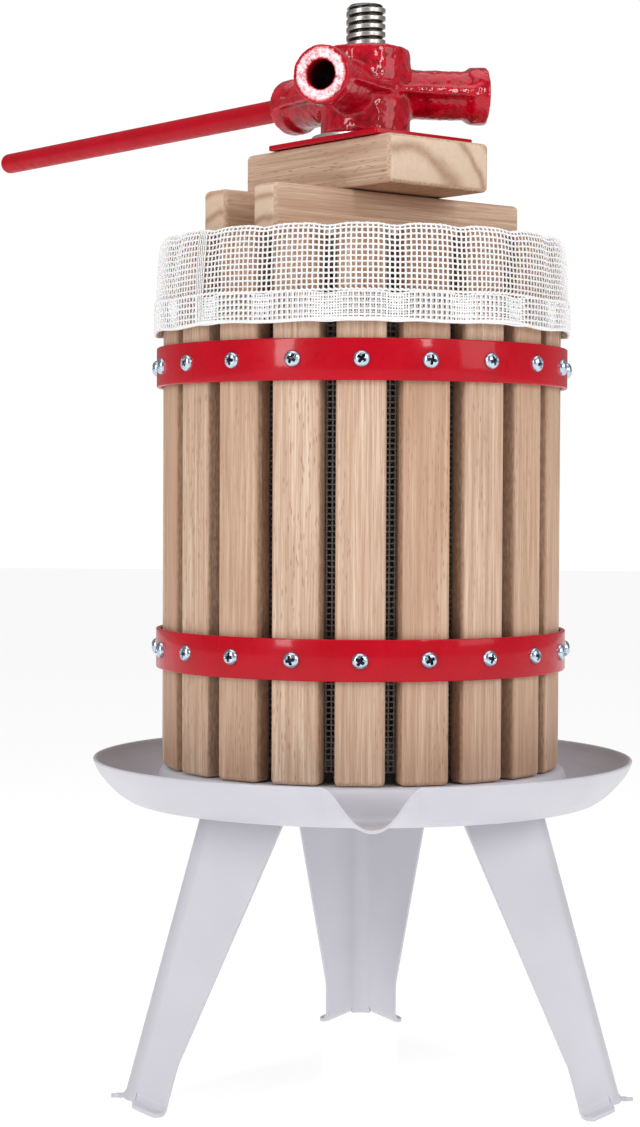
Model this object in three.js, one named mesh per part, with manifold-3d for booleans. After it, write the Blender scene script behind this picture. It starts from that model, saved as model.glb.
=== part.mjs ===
// Basket wine press: a slatted beech basket on a three-legged steel tray, with a fixed threaded
// spindle up its middle.  A cast head turned by a bar runs down the spindle and pushes a stack of
// plate, blocks and half-round pressing boards into the basket.
// Millimetres, +Z up, +X right, +Y to the back; the pouring lip is at the front.
import * as THREE from 'three';
import { mergeVertices } from 'three/addons/utils/BufferGeometryUtils.js';
import Module from 'manifold-3d';

const wasm = await Module();
wasm.setup();

// ---- driving dimensions ------------------------------------------------------------------------

const GAP = 0.3; // running and resting gap between neighbouring pieces
const FRONT = 270; // azimuth of the front, degrees from +X towards +Y

// basket
const STAVE_COUNT = 20;
const STAVE_WIDTH = 24;
const STAVE_THICKNESS = 12;
const STAVE_LENGTH = 265;
const STAVE_EDGE = 3; // edge radius
const STAVE_SHIFT_BEHIND = 8.6; // degrees; they then cover the gaps that face them across the basket
const STAVE_FACE_RADIUS = 101.5; // spindle axis to a stave's outer face
const BASKET_FOOT_Z = 162.6;
const BASKET_TOP_Z = BASKET_FOOT_Z + STAVE_LENGTH;
const BASKET_SHIFT = -1.2; // sideways, because it only stands on the tray
const BAND_HEIGHT = 20;
const BAND_THICKNESS = 2.3;
const BAND_INNER_RADIUS = 102.4;
const BAND_MID_Z = { lower: 222.6, upper: 364.6 };
const SCREW_HEAD_RADIUS = 4.2;
const SCREW_HEAD_HEIGHT = 2.8;
const SCREW_SHANK_RADIUS = 1.6;
const SCREW_DEPTH = 8; // how far a shank goes into its stave

// mesh bag, folded out over the top of the staves
const BAG_THICKNESS = 1.2;
const BAG_LINER_RADIUS = 89.2; // outer face of the part inside the basket
const BAG_COLLAR_RADIUS = 105.2; // outer face of the part folded outside
const BAG_COLLAR_FOOT_Z = 382.6;
const BAG_HOLE_RADIUS = 21; // round the spindle nut
const BAG_FLOOR_RISE = 4.8; // its bottom lies on the leg bolts' heads

// tray
const SHEET = 1.6;
const TRAY_TOP_Z = BASKET_FOOT_Z - GAP; // the raised floor that the basket stands on
const TRAY_RIM_RADIUS = 137.8;
const TRAY_RIM_Z = 165.6;
const GUTTER_Z = 145.6; // underside of the gutter
const SPOUT_AZIMUTH = 271.9;
const SPOUT_HALF_ANGLE = 9.9;
const SPOUT_REACH = 10;
const SPOUT_LIP_Z = 147; // underside of the lip

// legs: a tapered V of sheet with its rounded ridge outwards.  They are bent by hand, so each has
// its own azimuth and stands a little further out or in than the nominal radii below
const LEGS = {
  back: { azimuth: 90, outset: 0 },
  left: { azimuth: 211, outset: -5 },
  right: { azimuth: 332, outset: 4.5 },
};
const LEG_SHEET = 2;
const LEG_TOP_Z = TRAY_TOP_Z - SHEET - GAP;
const LEG_TAPER_END_Z = 23;
const LEG_RIDGE_TOP_RADIUS = 91;
const LEG_RIDGE_FOOT_RADIUS = 140;
const LEG_WING_TOP = 49;
const LEG_WING_FOOT = 23.5;
const LEG_HALF_ANGLE = 54.6;
const LEG_BEND_RADIUS = 10;
const FOOT_TAB = { length: 18.5, depth: 9, corner: 4 };
const FOOT_RISE = 3.8; // the foot slants up to the ridge, so a leg stands on its tabs' outer ends
const FOOT_FLAT = 0.5; // how much of the outer ends is worn flat
const TOP_FLANGE = { innerRadius: 58, outerRadius: 88, halfAngle: 17 };
const BOLT_AT = { radius: 68, azimuth: 12.5 }; // from the spindle axis and the leg's azimuth
const BOLT_RADIUS = 2;
const BOLT_HEAD_RADIUS = 4;
const BOLT_HEAD_HEIGHT = 4.5;

// spindle and its fastening
const THREAD_RADIUS = 10;
const THREAD_ROOT_RADIUS = 8.6;
const THREAD_PITCH = 4;
const SPINDLE_FOOT_Z = 140.6;
const SPINDLE_TOP_Z = 549.9;
const THREAD_START_Z = 487; // the spindle is drawn plain below this
const SPINDLE_HOLE = THREAD_RADIUS + GAP;
const SPINDLE_NUT = { flats: 30, height: 10 };
const SPINDLE_WASHER = { radius: 20, height: 2.5 };

// pressing stack, from the bottom up; GRAIN is the direction of the lower blocks
const GRAIN_AZIMUTH = 40;
const BOARD_RADIUS = 86;
const BOARD_THICKNESS = 20;
const BOARD_SPLIT = 6; // slot between the two half-round boards
const BLOCK_HEIGHT = 25;
const LOWER_BLOCK = { length: 162, width: 18, offset: 20.2 };
const UPPER_BLOCK = { length: 115, width: 66 };
const BLOCK_EDGE = 3;
const UPPER_BLOCK_FOOT_Z = 452;
const THRUST_PLATE = { width: 64, length: 86, height: 2.7, along: -5, across: -1.5, hole: 16 };
const THRUST_WASHER = { radius: 27.5, height: 2.7 };

// cast head and bar
const HUB_RADIUS = 22.8;
const HUB_FOOT_Z = 482.8;
const HUB_HEIGHT = 44.6;
const SOCKET_Z = 505.4;
const SOCKET_AZIMUTHS = [9.4, 129.4, 249.4];
const BAR_AZIMUTH = SOCKET_AZIMUTHS[1];
const SOCKET_END = 62.5; // spindle axis to a socket's mouth
const SOCKET_RADIUS = 12.4;
const SOCKET_LIP = { radius: 14.6, length: 9 };
const SOCKET_BORE = { radius: 7.3, start: 20 };
const FIN = { thickness: 4.5, hubHalf: 22, mouthHalf: 14.2 };
const BAR_RADIUS = 6;
const BAR_START = 22;
const BAR_END = 351.5;

// ---- materials ---------------------------------------------------------------------------------

const finish = (color, roughness, metalness) =>
  new THREE.MeshStandardMaterial({ color, roughness, metalness });
const PALE_PAINT = finish(0xcfcbd2, 0.45, 0.1);
const RED_ENAMEL = finish(0xc40a28, 0.25, 0.1);
const RED_CASTING = finish(0xc80c2a, 0.35, 0.15);
const BEECH = finish(0xd6b292, 0.65, 0);
const BAG_MESH = finish(0xf0eeea, 0.8, 0);
const SPINDLE_STEEL = finish(0x8d8a88, 0.4, 0.9);
const ZINC = finish(0xc3c6cb, 0.35, 0.9);

// ---- helpers -----------------------------------------------------------------------------------

const radians = THREE.MathUtils.degToRad;
const lerp = THREE.MathUtils.lerp;
const clamp = THREE.MathUtils.clamp;

const polar = (radius, azimuth, z = 0) =>
  new THREE.Vector3(radius * Math.cos(azimuth), radius * Math.sin(azimuth), z);

// Merges a geometry's shared points and turns its faces outwards.
function closed(geometry) {
  const bare = geometry.clone();
  bare.deleteAttribute('normal');
  bare.deleteAttribute('uv');
  const merged = mergeVertices(bare, 1e-4);
  const { array } = merged.index;
  const points = merged.attributes.position;
  const a = new THREE.Vector3();
  const b = new THREE.Vector3();
  const c = new THREE.Vector3();
  const kept = [];
  let volume = 0;
  for (let i = 0; i < array.length; i += 3) {
    const [p, q, r] = [array[i], array[i + 1], array[i + 2]];
    if (p === q || q === r || r === p) continue;
    kept.push(p, q, r);
    a.fromBufferAttribute(points, p);
    b.fromBufferAttribute(points, q);
    c.fromBufferAttribute(points, r);
    volume += a.dot(b.cross(c));
  }
  if (volume < 0) kept.reverse();
  merged.setIndex(kept);
  return merged;
}

function toSolid(geometry) {
  const { attributes, index } = closed(geometry);
  return new wasm.Manifold(new wasm.Mesh({
    numProp: 3,
    vertProperties: new Float32Array(attributes.position.array),
    triVerts: new Uint32Array(index.array),
  }));
}

function toGeometry(solid) {
  const { vertProperties, triVerts } = solid.getMesh();
  const geometry = new THREE.BufferGeometry();
  geometry.setAttribute('position', new THREE.BufferAttribute(vertProperties, 3));
  geometry.setIndex(new THREE.BufferAttribute(triVerts, 1));
  geometry.computeVertexNormals();
  return geometry;
}

const join = (geometries) =>
  geometries.map(toSolid).reduce((whole, piece) => whole.add(piece));

const cut = (solid, geometries) =>
  geometries.map(toSolid).reduce((rest, tool) => rest.subtract(tool), solid);

function fromTriangles(points, indices) {
  const geometry = new THREE.BufferGeometry();
  geometry.setAttribute('position', new THREE.Float32BufferAttribute(points, 3));
  geometry.setIndex(indices);
  return closed(geometry);
}

// A ring about the Z axis.  loopAt(angle) gives its closed section there, as [radius, z] pairs.
function ringSolid(angles, loopAt) {
  const loops = angles.map(loopAt);
  const size = loops[0].length;
  const points = [];
  const indices = [];
  loops.forEach((loop, j) => {
    loop.forEach(([radius, z]) => points.push(...polar(radius, angles[j], z).toArray()));
    const here = j * size;
    const there = ((j + 1) % loops.length) * size;
    for (let i = 0; i < size; i += 1) {
      const next = (i + 1) % size;
      indices.push(here + i, there + i, there + next, here + i, there + next, here + next);
    }
  });
  return fromTriangles(points, indices);
}

// A solid through level sections, each a loop of the same number of Vector3.
function loftSolid(sections) {
  const size = sections[0].length;
  const points = sections.flat().flatMap((point) => point.toArray());
  const indices = [];
  for (let row = 0; row + 1 < sections.length; row += 1) {
    for (let i = 0; i < size; i += 1) {
      const here = row * size + i;
      const next = row * size + ((i + 1) % size);
      indices.push(here, next, next + size, here, next + size, here + size);
    }
  }
  const last = (sections.length - 1) * size;
  const outline = sections[0].map(({ x, y }) => new THREE.Vector2(x, y));
  for (const [a, b, c] of THREE.ShapeUtils.triangulateShape(outline, [])) {
    indices.push(a, c, b, last + a, last + b, last + c);
  }
  return fromTriangles(points, indices);
}

// Lathe turned about the Z axis; the outline is [radius, z] pairs.
function turned(outline, segments) {
  const points = outline.map(([radius, z]) => new THREE.Vector2(radius, z));
  return new THREE.LatheGeometry(points, segments).rotateX(Math.PI / 2);
}

// The same, lying with its axis from the spindle outwards, along an azimuth and at a height.
const turnedOutwards = (outline, segments, azimuth, z) =>
  turned(outline, segments).rotateY(Math.PI / 2).rotateZ(azimuth).translate(0, 0, z);

function roundedRectangle(width, height, corner) {
  const shape = new THREE.Shape();
  const x = width / 2 - corner;
  const y = height / 2 - corner;
  shape.absarc(x, y, corner, 0, Math.PI / 2);
  shape.absarc(-x, y, corner, Math.PI / 2, Math.PI);
  shape.absarc(-x, -y, corner, Math.PI, 1.5 * Math.PI);
  shape.absarc(x, -y, corner, 1.5 * Math.PI, 2 * Math.PI);
  return shape;
}

function polygon(radius, sides) {
  const corners = Array.from({ length: sides }, (_, i) => {
    const angle = (2 * Math.PI * i) / sides;
    return new THREE.Vector2(radius * Math.cos(angle), radius * Math.sin(angle));
  });
  return new THREE.Shape(corners);
}

const extruded = (shape, depth, curveSegments = 3) =>
  new THREE.ExtrudeGeometry(shape, { depth, bevelEnabled: false, curveSegments });

// A flat piece with a round hole through it, standing on z.
function pierced(shape, holeRadius, holeSides, thickness, z) {
  shape.holes.push(polygon(holeRadius, holeSides));
  return extruded(shape, thickness).translate(0, 0, z);
}

const hexagon = (flats) => polygon(flats / Math.sqrt(3), 6);

const range = (count) => Array.from({ length: count }, (_, i) => i);
const evenAngles = (count) => range(count).map((i) => (2 * Math.PI * i) / count);

function named(name, geometry, material) {
  const mesh = new THREE.Mesh(geometry, material);
  mesh.name = name;
  return mesh;
}

// ---- basket ------------------------------------------------------------------------------------

// The staves are even from the front round to both sides, and moved round a little behind.
function staveAzimuth(i) {
  const [right, left] = [STAVE_COUNT / 4, (3 * STAVE_COUNT) / 4];
  const share = clamp(Math.min((i - right) / 3, (left - i) / 4), 0, 1);
  return radians(FRONT + (360 * i) / STAVE_COUNT + STAVE_SHIFT_BEHIND * share);
}
const bandHeights = Object.values(BAND_MID_Z);

// A band screw, from the tip of its shank to the top of its domed head.
function screwGeometry(azimuth, z) {
  const tip = STAVE_FACE_RADIUS - SCREW_DEPTH;
  const seat = BAND_INNER_RADIUS + BAND_THICKNESS - GAP;
  const top = BAND_INNER_RADIUS + BAND_THICKNESS + SCREW_HEAD_HEIGHT;
  const outline = [
    [0, tip],
    [SCREW_SHANK_RADIUS, tip + SCREW_SHANK_RADIUS],
    [SCREW_SHANK_RADIUS, seat],
    [SCREW_HEAD_RADIUS, seat],
    [SCREW_HEAD_RADIUS, top - 0.6 * SCREW_HEAD_HEIGHT],
    [0, top],
  ];
  return turnedOutwards(outline, 8, azimuth, z);
}

// A hoop of flat steel with one screw through it at every stave.
function bandGeometry(midZ) {
  const inner = BAND_INNER_RADIUS;
  const outer = inner + BAND_THICKNESS;
  const half = BAND_HEIGHT / 2;
  const hoop = ringSolid(evenAngles(3 * STAVE_COUNT), () => [
    [inner, midZ - half],
    [outer, midZ - half],
    [outer, midZ + half],
    [inner, midZ + half],
  ]);
  const screws = range(STAVE_COUNT).map((i) => screwGeometry(staveAzimuth(i), midZ));
  return toGeometry(join([hoop, ...screws]));
}

// A stave standing at azimuth 0, with a blind hole for the screw of each band.
function staveGeometry() {
  const section = roundedRectangle(STAVE_THICKNESS, STAVE_WIDTH, STAVE_EDGE);
  const middle = STAVE_FACE_RADIUS - STAVE_THICKNESS / 2;
  const stave = extruded(section, STAVE_LENGTH, 2).translate(middle, 0, BASKET_FOOT_Z);
  const holeRadius = SCREW_SHANK_RADIUS + GAP;
  const holeFoot = STAVE_FACE_RADIUS - SCREW_DEPTH - 1;
  const hole = [[0, holeFoot], [holeRadius, holeFoot], [holeRadius, 110], [0, 110]];
  const holes = bandHeights.map((z) => turnedOutwards(hole, 6, 0, z));
  return toGeometry(cut(toSolid(stave), holes));
}

// The bag is one skin: over the tray, up inside the staves, over their tops and down outside.
function bagGeometry() {
  const foot = BASKET_FOOT_Z + BAG_FLOOR_RISE;
  const top = BASKET_TOP_Z + 0.4;
  const liner = BAG_LINER_RADIUS;
  const collar = BAG_COLLAR_RADIUS;
  const skin = BAG_THICKNESS;
  return ringSolid(evenAngles(2 * STAVE_COUNT), () => [
    [BAG_HOLE_RADIUS, foot],
    [liner, foot],
    [liner, top],
    [collar - skin, top],
    [collar - skin, BAG_COLLAR_FOOT_Z],
    [collar, BAG_COLLAR_FOOT_Z],
    [collar, top + 0.4],
    [collar - skin, top + skin],
    [liner, top + skin],
    [liner - skin, top],
    [liner - skin, foot + skin],
    [BAG_HOLE_RADIUS, foot + skin],
  ]);
}

function makeBasket() {
  const basket = new THREE.Group();
  basket.position.x = BASKET_SHIFT;
  const stave = staveGeometry();
  for (const i of range(STAVE_COUNT)) {
    const mesh = named(`stave_${String(i + 1).padStart(2, '0')}`, stave, BEECH);
    mesh.rotation.z = staveAzimuth(i);
    basket.add(mesh);
  }
  for (const [place, z] of Object.entries(BAND_MID_Z)) {
    basket.add(named(`band_${place}`, bandGeometry(z), RED_ENAMEL));
  }
  basket.add(named('press_bag', bagGeometry(), BAG_MESH));
  return basket;
}

// ---- tray --------------------------------------------------------------------------------------

// Underside of the tray from the spindle hole to the rim, as [radius, z]: raised floor, gutter
// and dished wall.
const TRAY_UNDERSIDE = [
  [SPINDLE_HOLE, TRAY_TOP_Z - SHEET],
  [100.6, TRAY_TOP_Z - SHEET],
  [102, TRAY_TOP_Z - SHEET - 1.2],
  [103.4, GUTTER_Z + 2],
  [105, GUTTER_Z + 0.2],
  [108, GUTTER_Z],
  [119, GUTTER_Z],
  [125.2, GUTTER_Z + 3.6],
  [130.6, GUTTER_Z + 8.7],
  [134, GUTTER_Z + 12.8],
  [136.3, GUTTER_Z + 16.4],
  [TRAY_RIM_RADIUS, TRAY_RIM_Z],
];
const WALL_FOOT_RADIUS = 119;

// How far the spout's shape has taken over at an angle from its middle: 1 there, 0 at its sides.
function spoutShare(angle) {
  const away = Math.abs(Math.atan2(Math.sin(angle), Math.cos(angle))) / radians(SPOUT_HALF_ANGLE);
  return away < 1 ? Math.cos((Math.PI / 2) * away ** 1.15) ** 2 : 0;
}

// In the spout the wall leans out and down into a nearly level channel.
function spoutPoint([radius, z], share) {
  const along = clamp((radius - WALL_FOOT_RADIUS) / (TRAY_RIM_RADIUS - WALL_FOOT_RADIUS), 0, 1);
  if (along === 0) return [radius, z];
  const channelZ = lerp(GUTTER_Z, SPOUT_LIP_Z, along);
  return [radius + SPOUT_REACH * along * share, lerp(z, channelZ, share)];
}

// The line shifted by a distance to its left.
function offsetLine(line, distance) {
  return line.map(([x, y], i) => {
    const [x0, y0] = line[Math.max(i - 1, 0)];
    const [x1, y1] = line[Math.min(i + 1, line.length - 1)];
    const length = Math.hypot(x1 - x0, y1 - y0);
    return [x - (distance * (y1 - y0)) / length, y + (distance * (x1 - x0)) / length];
  });
}

function trayAngles() {
  const half = radians(SPOUT_HALF_ANGLE);
  const fine = 6;
  const coarse = 40;
  const inSpout = range(2 * fine).map((i) => -half + (half * i) / fine);
  const round = range(coarse).map((i) => half + ((2 * Math.PI - 2 * half) * i) / coarse);
  return [...inSpout, ...round];
}

function trayGeometry(boltPlaces) {
  const sheet = ringSolid(trayAngles(), (angle) => {
    const share = spoutShare(angle);
    const under = TRAY_UNDERSIDE.map((point) => spoutPoint(point, share));
    const over = offsetLine(under, SHEET);
    over[0][0] = SPINDLE_HOLE;
    return [...under, ...over.reverse()];
  });
  const holes = boltPlaces.map(({ x, y }) => {
    const hole = extruded(polygon(BOLT_RADIUS + GAP, 8), 8);
    return hole.translate(x, y, TRAY_TOP_Z - 5);
  });
  const facing = sheet.rotateZ(radians(SPOUT_AZIMUTH));
  return toGeometry(cut(toSolid(facing), holes));
}

// ---- legs --------------------------------------------------------------------------------------
// A leg is drawn at azimuth 0: +X outwards, and its two wings on either side of the XZ plane.

const halfAngle = radians(LEG_HALF_ANGLE);
const wingAlong = new THREE.Vector2(-Math.cos(halfAngle), Math.sin(halfAngle));
const wingOut = new THREE.Vector2(Math.sin(halfAngle), Math.cos(halfAngle));
const mirrored = ({ x, y }) => new THREE.Vector2(x, -y);

const ridgeRadius = (z) => lerp(LEG_RIDGE_FOOT_RADIUS, LEG_RIDGE_TOP_RADIUS, z / LEG_TOP_Z);
const ridgeSlope = (LEG_RIDGE_FOOT_RADIUS - LEG_RIDGE_TOP_RADIUS) / LEG_TOP_Z;

function wingLength(z) {
  const share = clamp((z - LEG_TAPER_END_Z) / (LEG_TOP_Z - LEG_TAPER_END_Z), 0, 1);
  const arc = LEG_BEND_RADIUS * (Math.PI / 2 - halfAngle);
  return lerp(LEG_WING_FOOT, LEG_WING_TOP, share) - arc;
}

// A point of the +Y wing at height z: its distance from the bend, and out from the wing's face.
function wingPoint(z, along, out) {
  return new THREE.Vector2(ridgeRadius(z) - LEG_BEND_RADIUS, 0)
    .addScaledVector(wingOut, LEG_BEND_RADIUS + out)
    .addScaledVector(wingAlong, along);
}

// One face of the V, from the -Y wing's edge round the bend to the +Y wing's edge.
function legLine(z, depth) {
  const edge = wingPoint(z, wingLength(z), -depth);
  const centre = ridgeRadius(z) - LEG_BEND_RADIUS;
  const spread = Math.PI / 2 - halfAngle;
  const steps = 4;
  const bend = range(steps + 1).map((i) => {
    const angle = lerp(-spread, spread, i / steps);
    const radius = LEG_BEND_RADIUS - depth;
    return new THREE.Vector2(centre + radius * Math.cos(angle), radius * Math.sin(angle));
  });
  return [mirrored(edge), ...bend, edge];
}

function legSection(z) {
  const loop = [...legLine(z, 0), ...legLine(z, LEG_SHEET).reverse()];
  return loop.map(({ x, y }) => new THREE.Vector3(x, y, z));
}

// The lowest section, which rises from the wings' outer edges to the ridge.
function footSection() {
  const wing = wingLength(0) * Math.sin(halfAngle);
  return legSection(0).map((point) => {
    const rise = FOOT_RISE * (1 - clamp((Math.abs(point.y) - 5) / wing, 0, 1));
    point.x -= rise * ridgeSlope;
    point.z = rise + 0.1;
    return point;
  });
}

// The tabs bent out from the slanting foot of each wing, with rounded outer corners.
function footTabGeometries() {
  const { length, depth, corner } = FOOT_TAB;
  const outline = new THREE.Shape();
  outline.moveTo(-LEG_SHEET / 2, 0);
  outline.absarc(depth - corner, corner, corner, -Math.PI / 2, 0);
  outline.absarc(depth - corner, length - corner, corner, 0, Math.PI / 2);
  outline.lineTo(-LEG_SHEET / 2, length);
  const slant = (FOOT_RISE + FOOT_FLAT) / length;
  const out = new THREE.Vector3(wingOut.x, wingOut.y, 0);
  const along = new THREE.Vector3(wingAlong.x, wingAlong.y, -slant).normalize();
  const up = new THREE.Vector3().crossVectors(out, along);
  const frame = new THREE.Matrix4().makeBasis(out, along, up);
  const root = wingPoint(0, 0, 0);
  frame.setPosition(root.x, root.y, FOOT_RISE);
  const tab = extruded(outline, LEG_SHEET).applyMatrix4(frame);
  return [tab, tab.clone().scale(1, -1, 1)];
}

// The level flange at the top of a leg, which is bolted up against the tray.
function topFlangeGeometry() {
  const { innerRadius, outerRadius, halfAngle: half } = TOP_FLANGE;
  const outline = new THREE.Shape();
  outline.absarc(0, 0, outerRadius, -radians(half), radians(half));
  outline.absarc(0, 0, innerRadius, radians(half), -radians(half), true);
  return extruded(outline, LEG_SHEET, 6).translate(0, 0, LEG_TOP_Z - LEG_SHEET);
}

const boltSpots = [BOLT_AT.azimuth, -BOLT_AT.azimuth]
  .map((azimuth) => polar(BOLT_AT.radius, radians(azimuth)));

function legGeometry(outset) {
  const sheet = loftSolid([footSection(), ...[LEG_TAPER_END_Z, LEG_TOP_Z - 0.1].map(legSection)]);
  const bent = [sheet, ...footTabGeometries()].map((piece) => piece.translate(outset, 0, 0));
  const holes = boltSpots.map(({ x, y }) => {
    const hole = extruded(polygon(BOLT_RADIUS + GAP, 8), 10);
    return hole.translate(x, y, LEG_TOP_Z - 5);
  });
  const floor = new THREE.BoxGeometry(100, 100, 10).translate(LEG_RIDGE_FOOT_RADIUS, 0, -5);
  return toGeometry(cut(join([...bent, topFlangeGeometry()]), [...holes, floor]));
}

function boltGeometry() {
  const seat = TRAY_TOP_Z + GAP;
  const top = seat + BOLT_HEAD_HEIGHT;
  return closed(turned([
    [0, top],
    [0.6 * BOLT_HEAD_RADIUS, top - 0.5],
    [BOLT_HEAD_RADIUS, top - 2.4],
    [BOLT_HEAD_RADIUS, seat],
    [BOLT_RADIUS, seat],
    [BOLT_RADIUS, LEG_TOP_Z - 8],
    [0, LEG_TOP_Z - 8],
  ], 12));
}

function boltNutGeometry() {
  const top = LEG_TOP_Z - LEG_SHEET - GAP;
  return pierced(hexagon(8), BOLT_RADIUS + GAP, 8, 3.5, top - 3.5);
}

function makeStand() {
  const stand = new THREE.Group();
  const boltPlaces = [];
  for (const [place, { azimuth, outset }] of Object.entries(LEGS)) {
    const group = new THREE.Group();
    group.rotation.z = radians(azimuth);
    group.add(named(`leg_${place}`, legGeometry(outset), PALE_PAINT));
    boltSpots.forEach((spot, i) => {
      const bolt = named(`leg_bolt_${place}_${i + 1}`, boltGeometry(), PALE_PAINT);
      const nut = named(`leg_nut_${place}_${i + 1}`, boltNutGeometry(), ZINC);
      bolt.position.copy(spot);
      nut.position.copy(spot);
      group.add(bolt, nut);
      boltPlaces.push(spot.clone().applyEuler(group.rotation));
    });
    stand.add(group);
  }
  stand.add(named('tray', trayGeometry(boltPlaces), PALE_PAINT));
  return stand;
}

// ---- spindle -----------------------------------------------------------------------------------

// Radius of the right-hand thread at an angle and height, 0 at the root to 1 on the crest.
function threadShare(angle, z) {
  const turns = z / THREAD_PITCH - angle / (2 * Math.PI);
  const phase = turns - Math.floor(turns);
  return clamp(2 - 4 * Math.abs(phase - 0.5), 0, 1);
}

function spindleGeometry() {
  const angles = evenAngles(12);
  const chamfer = 2;
  const plain = (z, radius) => angles.map((angle) => polar(radius, angle, z));
  const threaded = (z) => angles.map((angle) =>
    polar(lerp(THREAD_ROOT_RADIUS, THREAD_RADIUS, threadShare(angle, z)), angle, z));
  const step = THREAD_PITCH / 4;
  const rows = Math.floor((SPINDLE_TOP_Z - chamfer - THREAD_START_Z) / step);
  return loftSolid([
    plain(SPINDLE_FOOT_Z, THREAD_ROOT_RADIUS),
    plain(SPINDLE_FOOT_Z + chamfer, THREAD_RADIUS),
    plain(THREAD_START_Z - step, THREAD_RADIUS),
    ...range(rows + 1).map((i) => threaded(THREAD_START_Z + i * step)),
    plain(SPINDLE_TOP_Z, THREAD_ROOT_RADIUS - 1),
  ]);
}

function makeSpindle() {
  const spindle = new THREE.Group();
  const { flats, height } = SPINDLE_NUT;
  const washer = SPINDLE_WASHER;
  const nutAt = (z) => pierced(hexagon(flats), SPINDLE_HOLE, 12, height, z);
  const washerAt = (z) => pierced(polygon(washer.radius, 24), SPINDLE_HOLE, 12, washer.height, z);
  const underTray = TRAY_TOP_Z - SHEET - GAP;
  spindle.add(
    named('spindle', spindleGeometry(), SPINDLE_STEEL),
    named('spindle_nut_upper', nutAt(TRAY_TOP_Z + GAP), ZINC),
    named('spindle_washer', washerAt(underTray - washer.height), ZINC),
    named('spindle_nut_lower', nutAt(underTray - washer.height - GAP - height), ZINC),
  );
  return spindle;
}

// ---- pressing stack ----------------------------------------------------------------------------
// Drawn with the lower blocks along X, and turned as a group.

// Half a disc on the +X side of the split, notched for the spindle.
function boardGeometry() {
  const edge = BOARD_SPLIT / 2;
  const notch = THREAD_RADIUS + 2;
  const rimAngle = Math.asin(edge / BOARD_RADIUS);
  const notchAngle = Math.asin(edge / notch);
  const shape = new THREE.Shape();
  shape.absarc(0, 0, BOARD_RADIUS, -Math.PI / 2 + rimAngle, Math.PI / 2 - rimAngle);
  shape.absarc(0, 0, notch, Math.PI / 2 - notchAngle, -Math.PI / 2 + notchAngle, true);
  const foot = UPPER_BLOCK_FOOT_Z - BLOCK_HEIGHT - 2 * GAP - BOARD_THICKNESS;
  return extruded(shape, BOARD_THICKNESS, 16).translate(0, 0, foot);
}

// A bar of wood along X with rounded long edges.
function blockGeometry(length, width, height) {
  const section = roundedRectangle(width, height, BLOCK_EDGE);
  const bar = extruded(section, length).translate(0, 0, -length / 2);
  return bar.rotateX(Math.PI / 2).rotateZ(Math.PI / 2);
}

function upperBlockGeometry() {
  const { length, width } = UPPER_BLOCK;
  const height = BLOCK_HEIGHT - 2 * GAP;
  const middle = UPPER_BLOCK_FOOT_Z + BLOCK_HEIGHT / 2;
  const block = blockGeometry(length, width, height).rotateZ(Math.PI / 2).translate(0, 0, middle);
  const hole = extruded(polygon(THREAD_RADIUS + 1, 16), 2 * BLOCK_HEIGHT);
  return toGeometry(cut(toSolid(block), [hole.translate(0, 0, middle - BLOCK_HEIGHT)]));
}

function makeStack() {
  const stack = new THREE.Group();
  stack.rotation.z = radians(GRAIN_AZIMUTH);
  const board = boardGeometry();
  const lowerMiddle = UPPER_BLOCK_FOOT_Z - BLOCK_HEIGHT / 2;
  const lower = blockGeometry(LOWER_BLOCK.length, LOWER_BLOCK.width, BLOCK_HEIGHT);
  ['right', 'left'].forEach((side, i) => {
    const mesh = named(`press_board_${side}`, board, BEECH);
    mesh.rotation.z = i * Math.PI;
    stack.add(mesh);
  });
  [['back', 1], ['front', -1]].forEach(([side, sign]) => {
    const mesh = named(`lower_block_${side}`, lower, BEECH);
    mesh.position.set(0, sign * LOWER_BLOCK.offset, lowerMiddle - GAP);
    stack.add(mesh);
  });
  const plate = THRUST_PLATE;
  const plateZ = UPPER_BLOCK_FOOT_Z + BLOCK_HEIGHT;
  const outline = roundedRectangle(plate.width, plate.length, 1.5);
  const hole = polygon(plate.hole, 20).getPoints();
  outline.holes.push(new THREE.Path(hole.map(({ x, y }) =>
    new THREE.Vector2(x - plate.across, y - plate.along))));
  const plateMesh = named('thrust_plate', extruded(outline, plate.height), RED_ENAMEL);
  plateMesh.position.set(plate.across, plate.along, plateZ);
  const washerZ = plateZ + plate.height + GAP;
  const disc = polygon(THRUST_WASHER.radius, 32);
  const washer = pierced(disc, SPINDLE_HOLE, 16, THRUST_WASHER.height, washerZ);
  stack.add(
    named('upper_block', upperBlockGeometry(), BEECH),
    plateMesh,
    named('thrust_washer', washer, ZINC),
  );
  return stack;
}

// ---- head and bar ------------------------------------------------------------------------------

function socketGeometry(azimuth) {
  const lipStart = SOCKET_END - SOCKET_LIP.length;
  return turnedOutwards([
    [0, 0],
    [SOCKET_RADIUS, 0],
    [SOCKET_RADIUS, lipStart - 2],
    [SOCKET_LIP.radius - 0.8, lipStart],
    [SOCKET_LIP.radius, lipStart + 1.5],
    [SOCKET_LIP.radius, SOCKET_END - 1.2],
    [SOCKET_LIP.radius - 1.2, SOCKET_END],
    [0, SOCKET_END],
  ], 20, azimuth, SOCKET_Z);
}

function boreGeometry(azimuth) {
  const { radius, start } = SOCKET_BORE;
  const past = SOCKET_END + 5;
  const outline = [[0, start], [radius, start], [radius, past], [0, past]];
  return turnedOutwards(outline, 16, azimuth, SOCKET_Z);
}

// A level web along both sides of a socket, wide at the hub and flush with the lip.
function finGeometry(azimuth) {
  const { thickness, hubHalf, mouthHalf } = FIN;
  const end = SOCKET_END - 2;
  const outline = new THREE.Shape([
    new THREE.Vector2(0, -hubHalf),
    new THREE.Vector2(end, -mouthHalf),
    new THREE.Vector2(end, mouthHalf),
    new THREE.Vector2(0, hubHalf),
  ]);
  return extruded(outline, thickness).translate(0, 0, SOCKET_Z - thickness / 2).rotateZ(azimuth);
}

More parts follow.
